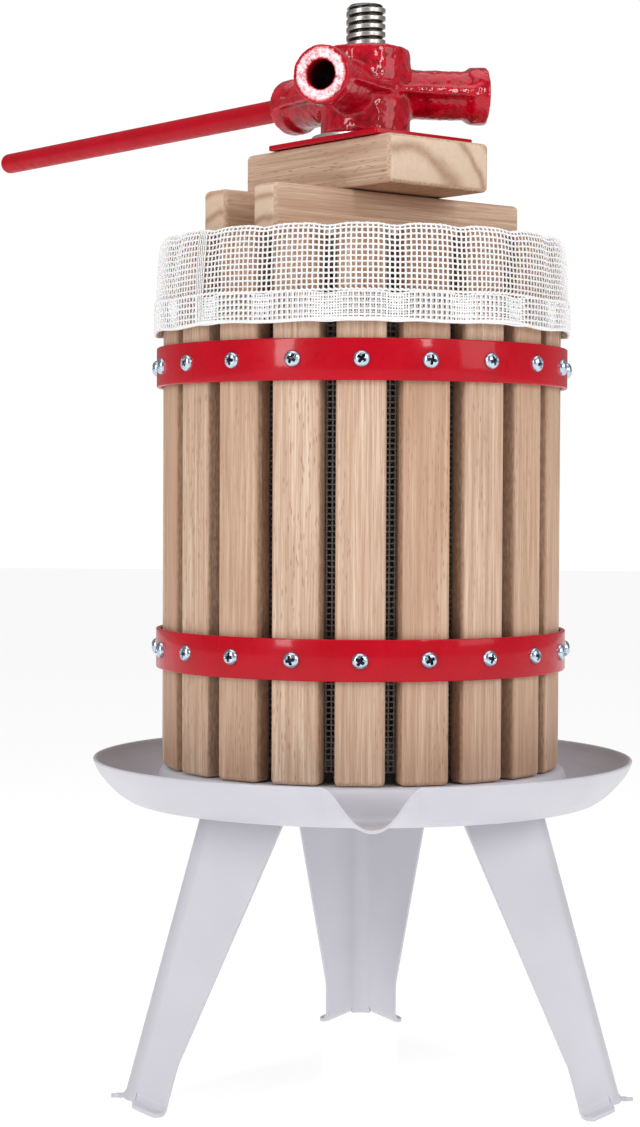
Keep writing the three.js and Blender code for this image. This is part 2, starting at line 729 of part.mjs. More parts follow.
function headGeometry() {
  const foot = HUB_FOOT_Z;
  const top = HUB_FOOT_Z + HUB_HEIGHT;
  const round = 2;
  const hub = turned([
    [0, foot],
    [HUB_RADIUS - round / 2, foot],
    [HUB_RADIUS, foot + round / 2],
    [HUB_RADIUS, top - round],
    [HUB_RADIUS - 0.6, top - 0.6],
    [HUB_RADIUS - round, top],
    [0, top],
  ], 32);
  const azimuths = SOCKET_AZIMUTHS.map(radians);
  const body = join([hub, ...azimuths.map(socketGeometry), ...azimuths.map(finGeometry)]);
  const nutHole = extruded(polygon(SPINDLE_HOLE, 16), HUB_HEIGHT + 10).translate(0, 0, foot - 5);
  return toGeometry(cut(body, [nutHole, ...azimuths.map(boreGeometry)]));
}

function barGeometry() {
  const round = 3;
  return closed(turnedOutwards([
    [0, BAR_START],
    [BAR_RADIUS - round, BAR_START],
    [BAR_RADIUS, BAR_START + round],
    [BAR_RADIUS, BAR_END - round],
    [BAR_RADIUS - 0.9, BAR_END - 0.9],
    [BAR_RADIUS - round, BAR_END],
    [0, BAR_END],
  ], 16, radians(BAR_AZIMUTH), SOCKET_Z));
}

// ---- the press ---------------------------------------------------------------------------------

const press = new THREE.Group();
press.add(
  makeStand(),
  makeSpindle(),
  makeBasket(),
  makeStack(),
  named('press_head', headGeometry(), RED_CASTING),
  named('handle_bar', barGeometry(), RED_ENAMEL),
);

// The origin is the middle of the whole press's box, on the floor.
const box = new THREE.Box3().setFromObject(press, true);
const middle = box.getCenter(new THREE.Vector3());
press.position.set(-middle.x, -middle.y, -box.min.z);

const part = new THREE.Group();
part.add(press);
part.updateMatrixWorld(true);

export default part;
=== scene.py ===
"""Basket wine press: the looks of every piece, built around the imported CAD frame.  Metres."""

import math

import bmesh
import bpy
import numpy as np
from mathutils import Matrix, Vector, noise


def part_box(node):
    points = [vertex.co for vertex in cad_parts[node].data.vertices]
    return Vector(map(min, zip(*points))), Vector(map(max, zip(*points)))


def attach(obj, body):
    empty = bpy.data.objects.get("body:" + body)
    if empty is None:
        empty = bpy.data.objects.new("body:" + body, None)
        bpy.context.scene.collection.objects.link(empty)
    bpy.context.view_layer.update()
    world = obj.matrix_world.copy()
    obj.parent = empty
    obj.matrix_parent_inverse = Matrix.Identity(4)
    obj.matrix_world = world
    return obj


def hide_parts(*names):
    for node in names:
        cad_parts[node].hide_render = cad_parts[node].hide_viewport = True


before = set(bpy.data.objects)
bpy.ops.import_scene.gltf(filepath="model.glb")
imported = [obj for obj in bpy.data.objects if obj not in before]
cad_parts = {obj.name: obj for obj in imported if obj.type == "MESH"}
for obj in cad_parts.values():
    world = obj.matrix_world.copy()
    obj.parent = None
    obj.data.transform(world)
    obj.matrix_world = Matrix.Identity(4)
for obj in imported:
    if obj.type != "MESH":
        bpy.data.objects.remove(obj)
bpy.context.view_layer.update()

MM = 0.001
TAU = 2 * math.pi

# ---- places, read from the frame ----------------------------------------------------------------

spindle_low, spindle_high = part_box("spindle")
AXIS = ((spindle_low + spindle_high) / 2).to_2d()
THREAD_RADIUS = (spindle_high.x - spindle_low.x) / 2
band_low, band_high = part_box("band_upper")
BASKET = ((band_low + band_high) / 2).to_2d()
stave_low, stave_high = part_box("stave_01")
STAVE_FACE = BASKET.y - stave_low.y
STAVE_THICKNESS = stave_high.y - stave_low.y
STAVE_WIDTH = stave_high.x - stave_low.x
STAVE_FOOT, STAVE_TOP = stave_low.z, stave_high.z
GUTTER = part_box("tray")[0].z  # the underside of the tray's gutter
FLOOR_TOP = GUTTER + 16.7 * MM  # the tray's raised floor

STAVE_COUNT = 20
FRONT = math.radians(270)
STAVE_AZIMUTHS = []
for number in range(1, STAVE_COUNT + 1):
    low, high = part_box(f"stave_{number:02d}")
    STAVE_AZIMUTHS.append(math.atan2(low.y + high.y - 2 * BASKET.y, low.x + high.x - 2 * BASKET.x))
SOCKET_AZIMUTHS = [math.radians(a) for a in (9.4, 129.4, 249.4)]
GRAIN_AZIMUTH = math.radians(40)


# ---- mesh helpers -------------------------------------------------------------------------------

def mesh_from(name, points, face_sets):
    """A mesh object from an (n, 3) array and arrays of faces, one array for each face size."""
    points = np.asarray(points, np.float32).reshape(-1, 3)
    face_sets = [np.asarray(f, np.int32) for f in face_sets if len(f)]
    loops = np.concatenate([f.ravel() for f in face_sets])
    totals = np.concatenate([np.full(len(f), f.shape[1], np.int32) for f in face_sets])
    mesh = bpy.data.meshes.new(name)
    mesh.vertices.add(len(points))
    mesh.vertices.foreach_set("co", points.ravel())
    mesh.loops.add(len(loops))
    mesh.loops.foreach_set("vertex_index", loops)
    mesh.polygons.add(len(totals))
    mesh.polygons.foreach_set("loop_start", np.concatenate([[0], np.cumsum(totals)[:-1]]).astype(np.int32))
    mesh.update(calc_edges=True)
    mesh.validate()
    return link(name, mesh)


def link(name, mesh):
    piece = bpy.data.objects.new(name, mesh)
    bpy.context.scene.collection.objects.link(piece)
    return piece


def grid_quads(rows, columns, wrap_rows=False, wrap_columns=False, start=0):
    """Quads of a grid whose vertex (i, j) is number start + i * columns + j."""
    i = np.arange(rows if wrap_rows else rows - 1)
    j = np.arange(columns if wrap_columns else columns - 1)
    i, j = np.meshgrid(i, j, indexing="ij")
    below, right = (i + 1) % rows, (j + 1) % columns
    corners = [i * columns + j, i * columns + right, below * columns + right, below * columns + j]
    return start + np.stack([c.ravel() for c in corners], 1)


def coordinates(mesh):
    """The mesh's points as an (n, 3) array."""
    co = np.empty(len(mesh.vertices) * 3)
    mesh.vertices.foreach_get("co", co)
    return co.reshape(-1, 3)


def store(mesh, label, values, kind="FLOAT"):
    """Stores a number, or a vector, for each point of the mesh."""
    field = "vector" if kind == "FLOAT_VECTOR" else "value"
    attribute = mesh.attributes.new(label, kind, "POINT")
    attribute.data.foreach_set(field, np.asarray(values, np.float32).ravel())


def clean(piece, merge=1e-6):
    """Merges coincident points, drops faces with no area and turns the rest outwards."""
    work = bmesh.new()
    work.from_mesh(piece.data)
    bmesh.ops.remove_doubles(work, verts=work.verts, dist=merge)
    bmesh.ops.dissolve_degenerate(work, edges=work.edges, dist=merge)
    bmesh.ops.recalc_face_normals(work, faces=work.faces)
    work.to_mesh(piece.data)
    work.free()
    return piece


def smooth(piece, angle=35):
    """Smooth shading, with edges sharper than the angle kept crisp."""
    mesh = piece.data
    mesh.polygons.foreach_set("use_smooth", np.ones(len(mesh.polygons), bool))
    mesh.set_sharp_from_angle(angle=math.radians(angle))
    return piece


def freeze(piece):
    """Replaces the piece's mesh by the result of its modifiers."""
    bpy.context.view_layer.update()
    graph = bpy.context.evaluated_depsgraph_get()
    mesh = bpy.data.meshes.new_from_object(piece.evaluated_get(graph))
    piece.modifiers.clear()
    piece.data = mesh
    return piece


def bevelled(piece, width, segments=3, angle=35):
    bevel = piece.modifiers.new("bevel", "BEVEL")
    bevel.width = width
    bevel.segments = segments
    bevel.limit_method = "ANGLE"
    bevel.angle_limit = math.radians(angle)
    return freeze(piece)


def carve(piece, cutters, operation="DIFFERENCE"):
    for cutter in cutters:
        modifier = piece.modifiers.new("cut", "BOOLEAN")
        modifier.operation = operation
        modifier.object = cutter
        modifier.solver = "EXACT"
    freeze(piece)
    for cutter in cutters:
        bpy.data.objects.remove(cutter)
    return piece


def join(name, pieces):
    """One piece holding all of these, as separate shells."""
    points, sets, first = [], {}, 0
    for piece in pieces:
        mesh = piece.data
        points.append(coordinates(mesh))
        for face in mesh.polygons:
            sets.setdefault(len(face.vertices), []).append([first + v for v in face.vertices])
        first += len(mesh.vertices)
        bpy.data.objects.remove(piece)
    return mesh_from(name, np.concatenate(points), list(sets.values()))


def ring(name, angles, loops, centre):
    """A closed ring about a vertical axis: loops[i] is its section, as [radius, z], at angles[i]."""
    loops = np.asarray(loops, float)
    angles = np.asarray(angles, float)[:, None]
    points = np.stack([
        centre[0] + loops[..., 0] * np.cos(angles),
        centre[1] + loops[..., 0] * np.sin(angles),
        loops[..., 1],
    ], -1)
    quads = grid_quads(*loops.shape[:2], wrap_rows=True, wrap_columns=True)
    return clean(mesh_from(name, points, [quads]))


def around(count):
    return np.arange(count) * TAU / count


def turned(name, outline, count, centre):
    """A lathed piece about a vertical axis; an outline that meets the axis is closed there."""
    return ring(name, around(count), [outline] * count, centre)


def arc(centre, radius, start, end, steps):
    """Points of an arc, with its angles in degrees."""
    angles = np.radians(np.linspace(start, end, steps))
    return [(centre[0] + radius * math.cos(a), centre[1] + radius * math.sin(a)) for a in angles]


def drill(radius, low, high, sides):
    """A cutter for a hole round the spindle's axis that runs past both faces."""
    below, above = low - 0.01, high + 0.01
    return turned("hole", [(0, below), (radius, below), (radius, above), (0, above)], sides, AXIS)


def prism(name, outline, low, high):
    """A solid standing on an outline of (x, y) points."""
    count = len(outline)
    points = [(x, y, z) for z in (low, high) for x, y in outline]
    sides = grid_quads(2, count, wrap_columns=True)
    caps = [list(range(count))[::-1], list(range(count, 2 * count))]
    return clean(mesh_from(name, points, [sides, caps]))


def curve_through(points, spacing):
    """A smooth curve through the points, resampled at an even spacing."""
    points = np.asarray(points, float)
    padded = np.vstack([2 * points[0] - points[1], points, 2 * points[-1] - points[-2]])
    t = np.linspace(0, 1, 16, endpoint=False)[:, None]
    dense = []
    for a, b, c, d in zip(padded, padded[1:], padded[2:], padded[3:]):
        dense.append(0.5 * (2 * b + (c - a) * t + (2 * a - 5 * b + 4 * c - d) * t**2
                            + (3 * b - a - 3 * c + d) * t**3))
    dense = np.vstack(dense + [points[-1:]])
    along = np.concatenate([[0], np.cumsum(np.linalg.norm(np.diff(dense, axis=0), axis=1))])
    even = np.linspace(0, along[-1], max(2, round(along[-1] / spacing) + 1))
    return np.stack([np.interp(even, along, dense[:, k]) for k in range(points.shape[1])], -1)


def offset_line(line, distance):
    """A 2-D line shifted by a distance to its left."""
    line = np.asarray(line, float)
    tangent = np.gradient(line, axis=0)
    tangent /= np.linalg.norm(tangent, axis=1, keepdims=True)
    return line + distance * np.stack([-tangent[:, 1], tangent[:, 0]], 1)


def rounded_profile(line, thickness, steps=5):
    """A closed loop round a line of sheet, with a half-round edge at its last point."""
    over = offset_line(line, thickness)
    middle = (line[-1] + over[-1]) / 2
    spoke = line[-1] - middle
    turns = np.linspace(0, math.pi, steps + 2)[1:-1]
    edge = [middle + (math.cos(a) * spoke + math.sin(a) * np.array([-spoke[1], spoke[0]])) for a in turns]
    return np.vstack([line, edge, over[::-1]])


def wobble(seed, waves, low, high):
    """A smooth random function of an angle, about -1 to 1, that repeats every turn."""
    rng = np.random.default_rng(seed)
    counts = rng.integers(low, high + 1, waves)
    phases = rng.uniform(0, TAU, waves)
    weights = rng.uniform(0.4, 1, waves)
    weights /= weights.sum()
    return lambda angle: sum(w * np.sin(n * angle + p) for n, p, w in zip(counts, phases, weights))


def azimuth_frame(azimuth, origin):
    """A matrix with X outwards along an azimuth, Y across and Z up."""
    return Matrix.Translation(origin) @ Matrix.Rotation(azimuth, 4, "Z")


def finish_piece(piece, body, slot, material, *nodes):
    piece.data.materials.clear()
    piece.data.materials.append(material)
    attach(piece, body)
    if nodes:
        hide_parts(*nodes)
    return piece


# ---- material helpers ---------------------------------------------------------------------------

class Nodes:
    """Short calls for building one material's nodes."""

    def __init__(self, name, **sockets):
        self.material = bpy.data.materials.new(name)
        self.material.use_nodes = True
        self.tree = self.material.node_tree
        self.shader = self.tree.nodes["Principled BSDF"]
        for key, value in sockets.items():
            self.shader.inputs[key.replace("_", " ")].default_value = value

    def add(self, kind, settings=(), **inputs):
        node = self.tree.nodes.new(kind)
        for key, value in dict(settings).items():
            setattr(node, key, value)
        for key, value in inputs.items():
            self.put(node.inputs[key.replace("_", " ")], value)
        return node

    def put(self, socket, value):
        if isinstance(value, bpy.types.NodeSocket):
            self.tree.links.new(value, socket)
        else:
            socket.default_value = value

    def position(self):
        return self.add("ShaderNodeTexCoord").outputs["Object"]

    def attribute(self, name, output="Vector"):
        return self.add("ShaderNodeAttribute", {"attribute_name": name}).outputs[output]

    def math(self, operation, a, b=0.0, c=0.0, clamp=False):
        node = self.add("ShaderNodeMath", {"operation": operation, "use_clamp": clamp})
        for socket, value in zip(node.inputs, (a, b, c)):
            self.put(socket, value)
        return node.outputs[0]

    def vector(self, operation, a, b=(0, 0, 0)):
        node = self.add("ShaderNodeVectorMath", {"operation": operation})
        self.put(node.inputs[0], a)
        self.put(node.inputs[1], b)
        return node.outputs["Value"] if operation in ("LENGTH", "DOT_PRODUCT") else node.outputs[0]

    def noise(self, vector, scale, detail=3.0, rough=0.55, distortion=0.0):
        node = self.add("ShaderNodeTexNoise", Vector=vector, Scale=scale, Detail=detail,
                        Roughness=rough, Distortion=distortion)
        return node.outputs["Fac"]

    def ramp(self, value, *stops):
        """A colour ramp; each stop is (position, grey or (r, g, b))."""
        node = self.add("ShaderNodeValToRGB", Fac=value)
        elements = node.color_ramp.elements
        while len(elements) < len(stops):
            elements.new(0.5)
        for element, (place, colour) in zip(elements, stops):
            element.position = place
            element.color = (*(colour if isinstance(colour, tuple) else (colour,) * 3), 1)
        return node.outputs["Color"]

    def mix(self, share, a, b, blend="MIX"):
        node = self.add("ShaderNodeMix", {"data_type": "RGBA", "blend_type": blend})
        self.put(node.inputs[0], share)
        for socket, value in zip((node.inputs[6], node.inputs[7]), (a, b)):
            self.put(socket, (*value, 1) if isinstance(value, tuple) and len(value) == 3 else value)
        return node.outputs[2]

    def bump(self, height, distance, strength=1.0):
        node = self.add("ShaderNodeBump", Height=height, Strength=strength, Distance=distance)
        self.tree.links.new(node.outputs[0], self.shader.inputs["Normal"])

    def link(self, value, socket):
        self.tree.links.new(value, self.shader.inputs[socket])


# ---- materials ----------------------------------------------------------------------------------

def beech_material():
    """Bare sanded beech, drawn in each piece's own grain space: across, through and along."""
    m = Nodes("beech", Specular_IOR_Level=0.35)
    grain = m.attribute("grain")
    tone = m.attribute("tone", "Fac")
    along = m.vector("MULTIPLY", grain, (1, 1, 0.06))
    warp = m.noise(along, 35, 2)
    flat = m.vector("MULTIPLY", grain, (1, 1, 0.02))
    radius = m.math("ADD", m.vector("LENGTH", flat), m.math("MULTIPLY", warp, 9 * MM))
    rings = m.math("SINE", m.math("MULTIPLY", radius, TAU / (3.1 * MM)))
    ring_tone = m.math("MULTIPLY_ADD", rings, 0.5, 0.5)
    streaks = m.noise(m.vector("MULTIPLY", grain, (1, 1, 0.025)), 420, 4, 0.6)
    clouds = m.noise(m.vector("MULTIPLY", grain, (1, 1, 0.2)), 28, 2)
    pale, tan, rose = (0.83, 0.665, 0.52), (0.64, 0.43, 0.30), (0.42, 0.235, 0.145)
    colour = m.mix(tone, pale, tan)
    colour = m.mix(m.math("MULTIPLY", ring_tone, 0.34), colour, tan)
    patch = m.ramp(clouds, (0.42, 0.0), (0.7, 1.0))
    colour = m.mix(m.math("MULTIPLY", patch, 0.4), colour, rose)
    streak = m.ramp(streaks, (0.38, 1.0), (0.6, 0.0))
    colour = m.mix(m.math("MULTIPLY", streak, 0.5), colour, rose)
    fine = m.ramp(m.noise(m.vector("MULTIPLY", grain, (1, 1, 0.02)), 1300, 3, 0.6), (0.4, 1.0), (0.62, 0.0))
    colour = m.mix(m.math("MULTIPLY", fine, 0.55), colour, rose)
    cells = m.add("ShaderNodeTexVoronoi", Vector=m.vector("MULTIPLY", grain, (1, 1, 0.13)), Scale=900.0)
    fleck = m.ramp(cells.outputs["Distance"], (0.13, 1.0), (0.3, 0.0))
    where = m.ramp(m.noise(along, 60, 2), (0.42, 0.12), (0.62, 1.0))
    flecks = m.math("MULTIPLY", fleck, where)
    colour = m.mix(m.math("MULTIPLY", flecks, 0.62), colour, (0.25, 0.125, 0.07))
    even = m.math("ADD", m.vector("LENGTH", flat), m.math("MULTIPLY", warp, 2 * MM))
    arcs = m.math("MULTIPLY_ADD", m.math("SINE", m.math("MULTIPLY", even, TAU / (2.6 * MM))), 0.5, 0.5)
    end = m.mix(m.math("POWER", arcs, 4.0), m.mix(tone, pale, tan), (0.42, 0.25, 0.16))
    colour = m.mix(m.math("MULTIPLY", m.attribute("end_grain", "Fac"), 0.7), colour, end)
    # The side faces are mixed towards a patchy dark brown: partly the sawn wood's own colour, partly painted
    # shade where they turn into the gaps between staves.
    rough = m.ramp(m.noise(m.vector("MULTIPLY", grain, (1, 1, 0.3)), 900, 2), (0.35, 0.75), (0.65, 0.3))
    colour = m.mix(m.math("MULTIPLY", m.attribute("sawn_and_shaded", "Fac"), rough), colour, (0.27, 0.145, 0.085))
    m.link(colour, "Base Color")
    fibres = m.noise(m.vector("MULTIPLY", grain, (1, 1, 0.03)), 1500, 2)
    m.link(m.ramp(fibres, (0.3, 0.5), (0.7, 0.7)), "Roughness")
    height = m.math("SUBTRACT", m.math("MULTIPLY", fibres, 0.5), flecks)
    m.bump(height, 0.12 * MM, 0.55)
    return m.material


def enamel_material(name, colour, dark, roughness, peel, coat=0.6):
    """Thick glossy paint: a faint orange peel, and a slightly darker tone in random blotches."""
    m = Nodes(name, Coat_Weight=coat, Coat_Roughness=0.08, Specular_IOR_Level=0.1)
    place = m.position()
    blotch = m.noise(place, 60, 3)
    m.link(m.mix(m.ramp(blotch, (0.35, 0.0), (0.7, 1.0)), dark, colour), "Base Color")
    m.link(m.ramp(m.noise(place, 220, 2), (0.3, roughness * 0.8), (0.7, roughness * 1.3)), "Roughness")
    m.bump(m.noise(place, 420, 3), peel, 0.6)
    return m.material


def casting_material():
    """Red enamel over a sand casting. The sockets' end faces are pale pinkish white in patches, partly paint
    rubbed thin and partly a painted highlight; the bores are near black as painted shade.
    """
    m = Nodes("red_casting", Coat_Weight=0.6, Coat_Roughness=0.03, Specular_IOR_Level=0.1)
    place = m.position()
    sand = m.noise(place, 520, 4, 0.65)
    lumps = m.noise(place, 190, 3, 0.6)
    height = m.math("ADD", m.math("MULTIPLY", sand, 0.45), lumps)
    deep, red, bright = (0.28, 0.0008, 0.009), (0.52, 0.001, 0.015), (0.62, 0.003, 0.022)
    paint = m.mix(m.ramp(lumps, (0.34, 0.0), (0.6, 1.0)), deep, red)
    paint = m.mix(m.ramp(sand, (0.5, 0.0), (0.75, 0.8)), paint, bright)
    # The sockets' end faces go pale pinkish white in patches: partly paint rubbed thin to the primer, partly
    # a painted highlight of the light on those flat faces.
    worn_and_highlight = m.attribute("worn_and_highlight", "Fac")
    pale_patches = m.math("ADD", m.noise(place, 420, 4, 0.75), m.math("MULTIPLY", worn_and_highlight, 0.28))
    share = m.math("MULTIPLY", m.ramp(pale_patches, (0.66, 0.0), (0.84, 1.0)), worn_and_highlight)
    primer_and_highlight = m.mix(m.noise(place, 900, 2), (0.82, 0.45, 0.50), (0.92, 0.78, 0.80))
    colour = m.mix(share, paint, primer_and_highlight)
    # The bores are coloured near black: painted shade in the deep holes.
    m.link(m.mix(m.attribute("inside", "Fac"), colour, (0.045, 0.001, 0.003)), "Base Color")
    m.link(m.math("MULTIPLY_ADD", share, 0.3, 0.2), "Roughness")
    m.bump(height, 0.55 * MM, 0.7)
    return m.material


def powder_material():
    """Pale grey powder coat with its fine pebbled skin."""
    m = Nodes("stand_paint", Roughness=0.42, Specular_IOR_Level=0.45, Coat_Weight=0.15, Coat_Roughness=0.3)
    place = m.position()
    tone = m.ramp(m.noise(place, 14, 3), (0.35, (0.575, 0.565, 0.615)), (0.7, (0.63, 0.62, 0.67)))
    m.link(tone, "Base Color")
    m.bump(m.noise(place, 900, 2), 0.03 * MM, 0.5)
    return m.material


def spindle_material():
    """Rolled steel thread: bright rubbed crests, and the roots coloured near black."""
    m = Nodes("spindle_steel", Metallic=1.0)
    place = m.position()
    low = m.attribute("depth", "Fac")
    wear = m.noise(m.vector("MULTIPLY", place, (1, 1, 3)), 300, 4, 0.6)
    crest = m.mix(wear, (0.36, 0.335, 0.31), (0.66, 0.635, 0.60))
    m.link(m.mix(low, crest, (0.035, 0.033, 0.031)), "Base Color")
    m.link(m.math("MULTIPLY_ADD", wear, 0.25, 0.22), "Roughness")
    m.bump(wear, 0.08 * MM, 0.4)
    return m.material


def zinc_material(name, tint, roughness, recess_shade=None):
    m = Nodes(name, Metallic=1.0)
    place = m.position()
    spangle = m.noise(place, 700, 3)
    colour = m.mix(spangle, tuple(0.78 * c for c in tint), tint)
    # Points deep in a recess are mixed towards the dark recess colour: painted shade.
    if recess_shade:
        colour = m.mix(m.attribute("depth", "Fac"), colour, recess_shade)
    m.link(colour, "Base Color")
    m.link(m.math("MULTIPLY_ADD", spangle, 0.14, roughness), "Roughness")
    m.bump(spangle, 0.03 * MM, 0.3)
    return m.material


def thread_material(name, colour):
    """White polyester yarn."""
    m = Nodes(name, Roughness=0.62, Sheen_Weight=0.25, Sheen_Roughness=0.5, Subsurface_Weight=0.12,
              Subsurface_Scale=0.4 * MM)
    place = m.position()
    dirt = m.noise(place, 45, 3)
    m.link(m.mix(dirt, tuple(0.9 * c for c in colour), colour), "Base Color")
    m.bump(m.noise(place, 2600, 2), 0.06 * MM, 0.6)
    return m.material


BEECH = beech_material()
RED_BAND = enamel_material("red_paint", (0.51, 0.0005, 0.012), (0.45, 0.0004, 0.009), 0.3, 0.03 * MM, 0.32)
RED_BAR = enamel_material("red_bar", (0.50, 0.002, 0.014), (0.42, 0.0015, 0.010), 0.42, 0.05 * MM, 0.08)
RED_CASTING = casting_material()
POWDER = powder_material()
SPINDLE_STEEL = spindle_material()
ZINC = zinc_material("zinc", (0.80, 0.81, 0.83), 0.28)
# Blue-tinted zinc for the band screws, with their cross recesses darkened near black as painted shade.
BLUE_ZINC = zinc_material("blue_zinc", (0.58, 0.68, 0.80), 0.18, (0.03, 0.035, 0.04))
NET = thread_material("bag_mesh", (0.96, 0.95, 0.95))
# The bag's yarn inside the basket is the white yarn coloured dark grey-brown: painted shade.
NET_PAINTED_SHADE = thread_material("bag_mesh_painted_shade", (0.30, 0.285, 0.27))


# ---- wood ---------------------------------------------------------------------------------------

def set_grain(piece, frame_matrix, seed, tone, pith):
    """Stores each point's place in grain space, and the piece's own tone.

    frame_matrix takes grain space (across, through, along) to the world; pith is the tree's
    middle in it, as (across, through).
    """
    rng = np.random.default_rng(seed)
    mesh = piece.data
    inverse = np.array(frame_matrix.inverted())
    local = coordinates(mesh) @ inverse[:3, :3].T + inverse[:3, 3]
    local -= (*pith, rng.uniform(-20, 20))
    store(mesh, "grain", local, "FLOAT_VECTOR")
    store(mesh, "tone", np.full(len(local), tone))


def timber(name, size, edge, matrix, cutters=()):
    """A squared length of wood with rounded edges; size is (across, through, along)."""
    half = np.array(size) / 2
    corners = np.array([(x, y, z) for z in (-1, 1) for y in (-1, 1) for x in (-1, 1)]) * half
    faces = [(0, 2, 3, 1), (4, 5, 7, 6), (0, 1, 5, 4), (2, 6, 7, 3), (0, 4, 6, 2), (1, 3, 7, 5)]
    piece = mesh_from(name, corners, [faces])
    bevelled(clean(piece), edge, segments=5)
    # Side faces get a mark for a darker brown that is partly sawn wood and partly painted shade; end faces
    # get a mark for end grain.
    for label, axis in (("sawn_and_shaded", 0), ("end_grain", 2)):
        there = [float(abs(v.co[axis]) > half[axis] - 0.3 * MM) for v in piece.data.vertices]
        store(piece.data, label, there)
    piece.data.transform(matrix)
    if cutters:
        carve(piece, cutters)
    return smooth(piece, 50)


def make_staves():
    rng = np.random.default_rng(7)
    middle = STAVE_FACE - STAVE_THICKNESS / 2
    size = (STAVE_WIDTH, STAVE_THICKNESS, STAVE_TOP - STAVE_FOOT)
    for i, azimuth in enumerate(STAVE_AZIMUTHS):
        outward = Matrix.Rotation(azimuth, 3, "Z") @ Vector((middle, 0, 0))
        origin = Vector((*BASKET, (STAVE_FOOT + STAVE_TOP) / 2)) + outward
        lean = Matrix.Rotation(math.radians(rng.uniform(-0.08, 0.08)), 4, "X")
        place = azimuth_frame(azimuth, origin) @ lean @ Matrix.Rotation(math.radians(90), 4, "Z")
        name = f"stave_{i + 1:02d}"
        piece = timber(f"{name}_beech", size, 2.7 * MM, place)
        pith = (rng.uniform(-45, 45) * MM, rng.uniform(15, 70) * MM * rng.choice((-1, 1)))
        set_grain(piece, place, 100 + i, rng.uniform(0.0, 1.0), pith)
        finish_piece(piece, "basket", "beech", BEECH, name)


def make_blocks():
    """The pressing stack's wood: the two lower blocks, the block across them, and the boards."""
    cross = GRAIN_AZIMUTH + math.pi / 2
    upright = Matrix.Rotation(math.radians(90), 4, "Y")  # grain space's along axis laid level
    for side, seed, tone in (("back", 3, 0.5), ("front", 5, 0.32)):
        node = f"lower_block_{side}"
        low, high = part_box(node)
        place = azimuth_frame(GRAIN_AZIMUTH, (low + high) / 2) @ upright
        piece = timber(f"{node}_beech", (high.z - low.z, 18 * MM, 162 * MM), 2.8 * MM, place)
        set_grain(piece, place, seed, tone, (60 * MM, -12 * MM))
        finish_piece(piece, "press_stack", "beech", BEECH, node)
    low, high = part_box("upper_block")
    middle = Vector((*AXIS, (low.z + high.z) / 2))
    place = azimuth_frame(cross, middle) @ upright
    hole = drill(11 * MM, low.z, high.z, 48)
    piece = timber("upper_block_beech", (high.z - low.z, 66 * MM, 115 * MM), 2.8 * MM, place, [hole])
    set_grain(piece, place, 11, 0.25, (34 * MM, 22 * MM))
    finish_piece(piece, "press_stack", "beech", BEECH, "upper_block")
    for side, turn, seed in (("right", 0, 21), ("left", math.pi, 22)):
        node = f"press_board_{side}"
        low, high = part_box(node)
        radius, notch, edge = 86 * MM, 12 * MM, 3 * MM
        rim = math.degrees(math.asin(edge / radius))
        inner = math.degrees(math.asin(edge / notch))
        outline = arc((0, 0), radius, rim - 90, 90 - rim, 64) + arc((0, 0), notch, 90 - inner, inner - 90, 24)
        piece = bevelled(prism(f"{node}_beech", outline, low.z, high.z), 1.6 * MM)
        place = azimuth_frame(GRAIN_AZIMUTH + turn, Vector((*AXIS, 0)))
        piece.data.transform(place)
        grain = azimuth_frame(cross, Vector((*AXIS, low.z))) @ upright
        set_grain(piece, grain, seed, 0.45, (45 * MM, 30 * MM))
        smooth(piece)
        finish_piece(piece, "press_stack", "beech", BEECH, node)


# ---- bands and screws ---------------------------------------------------------------------------

BAND_INNER = 102.4 * MM
BAND_THICKNESS = 2.3 * MM
SCREW_HEAD = 4.1 * MM
SCREW_RISE = 2.7 * MM


def cross_recess(x, y):
    """Depth of a cross-shaped driver recess, 0 outside it to 1 at its bottom."""
    arm, width = 2.35 * MM, 0.55 * MM
    reach = np.maximum(np.abs(x), np.abs(y))
    side = np.minimum(np.abs(x), np.abs(y))
    flank = 1 - np.clip((side - width * 0.8) / (width * 0.55), 0, 1)
    end = 1 - np.clip((reach - arm * 0.72) / (arm * 0.3), 0, 1)
    return flank * end


def screw_points(turn):
    """A pan head's surface as rings of points, X outwards from the band, and its ring size."""
    count = 56
    radii = np.concatenate([np.linspace(0.25, 2.9, 12), [3.3, 3.65, 3.9, 4.04, SCREW_HEAD / MM]]) * MM
    angle = around(count)[None, :]
    y, z = radii[:, None] * np.cos(angle), radii[:, None] * np.sin(angle)
    dome = SCREW_RISE * np.sqrt(np.clip(1 - (radii / SCREW_HEAD) ** 2.6, 0, 1))[:, None]
    c, s = math.cos(turn), math.sin(turn)
    depth = cross_recess(c * y + s * z, c * z - s * y)
    x = np.maximum(dome - 1.5 * MM * depth, 0.2 * MM) + 0 * y
    x[-1] = -0.35 * MM
    return np.stack([x, y, z], -1), depth, count


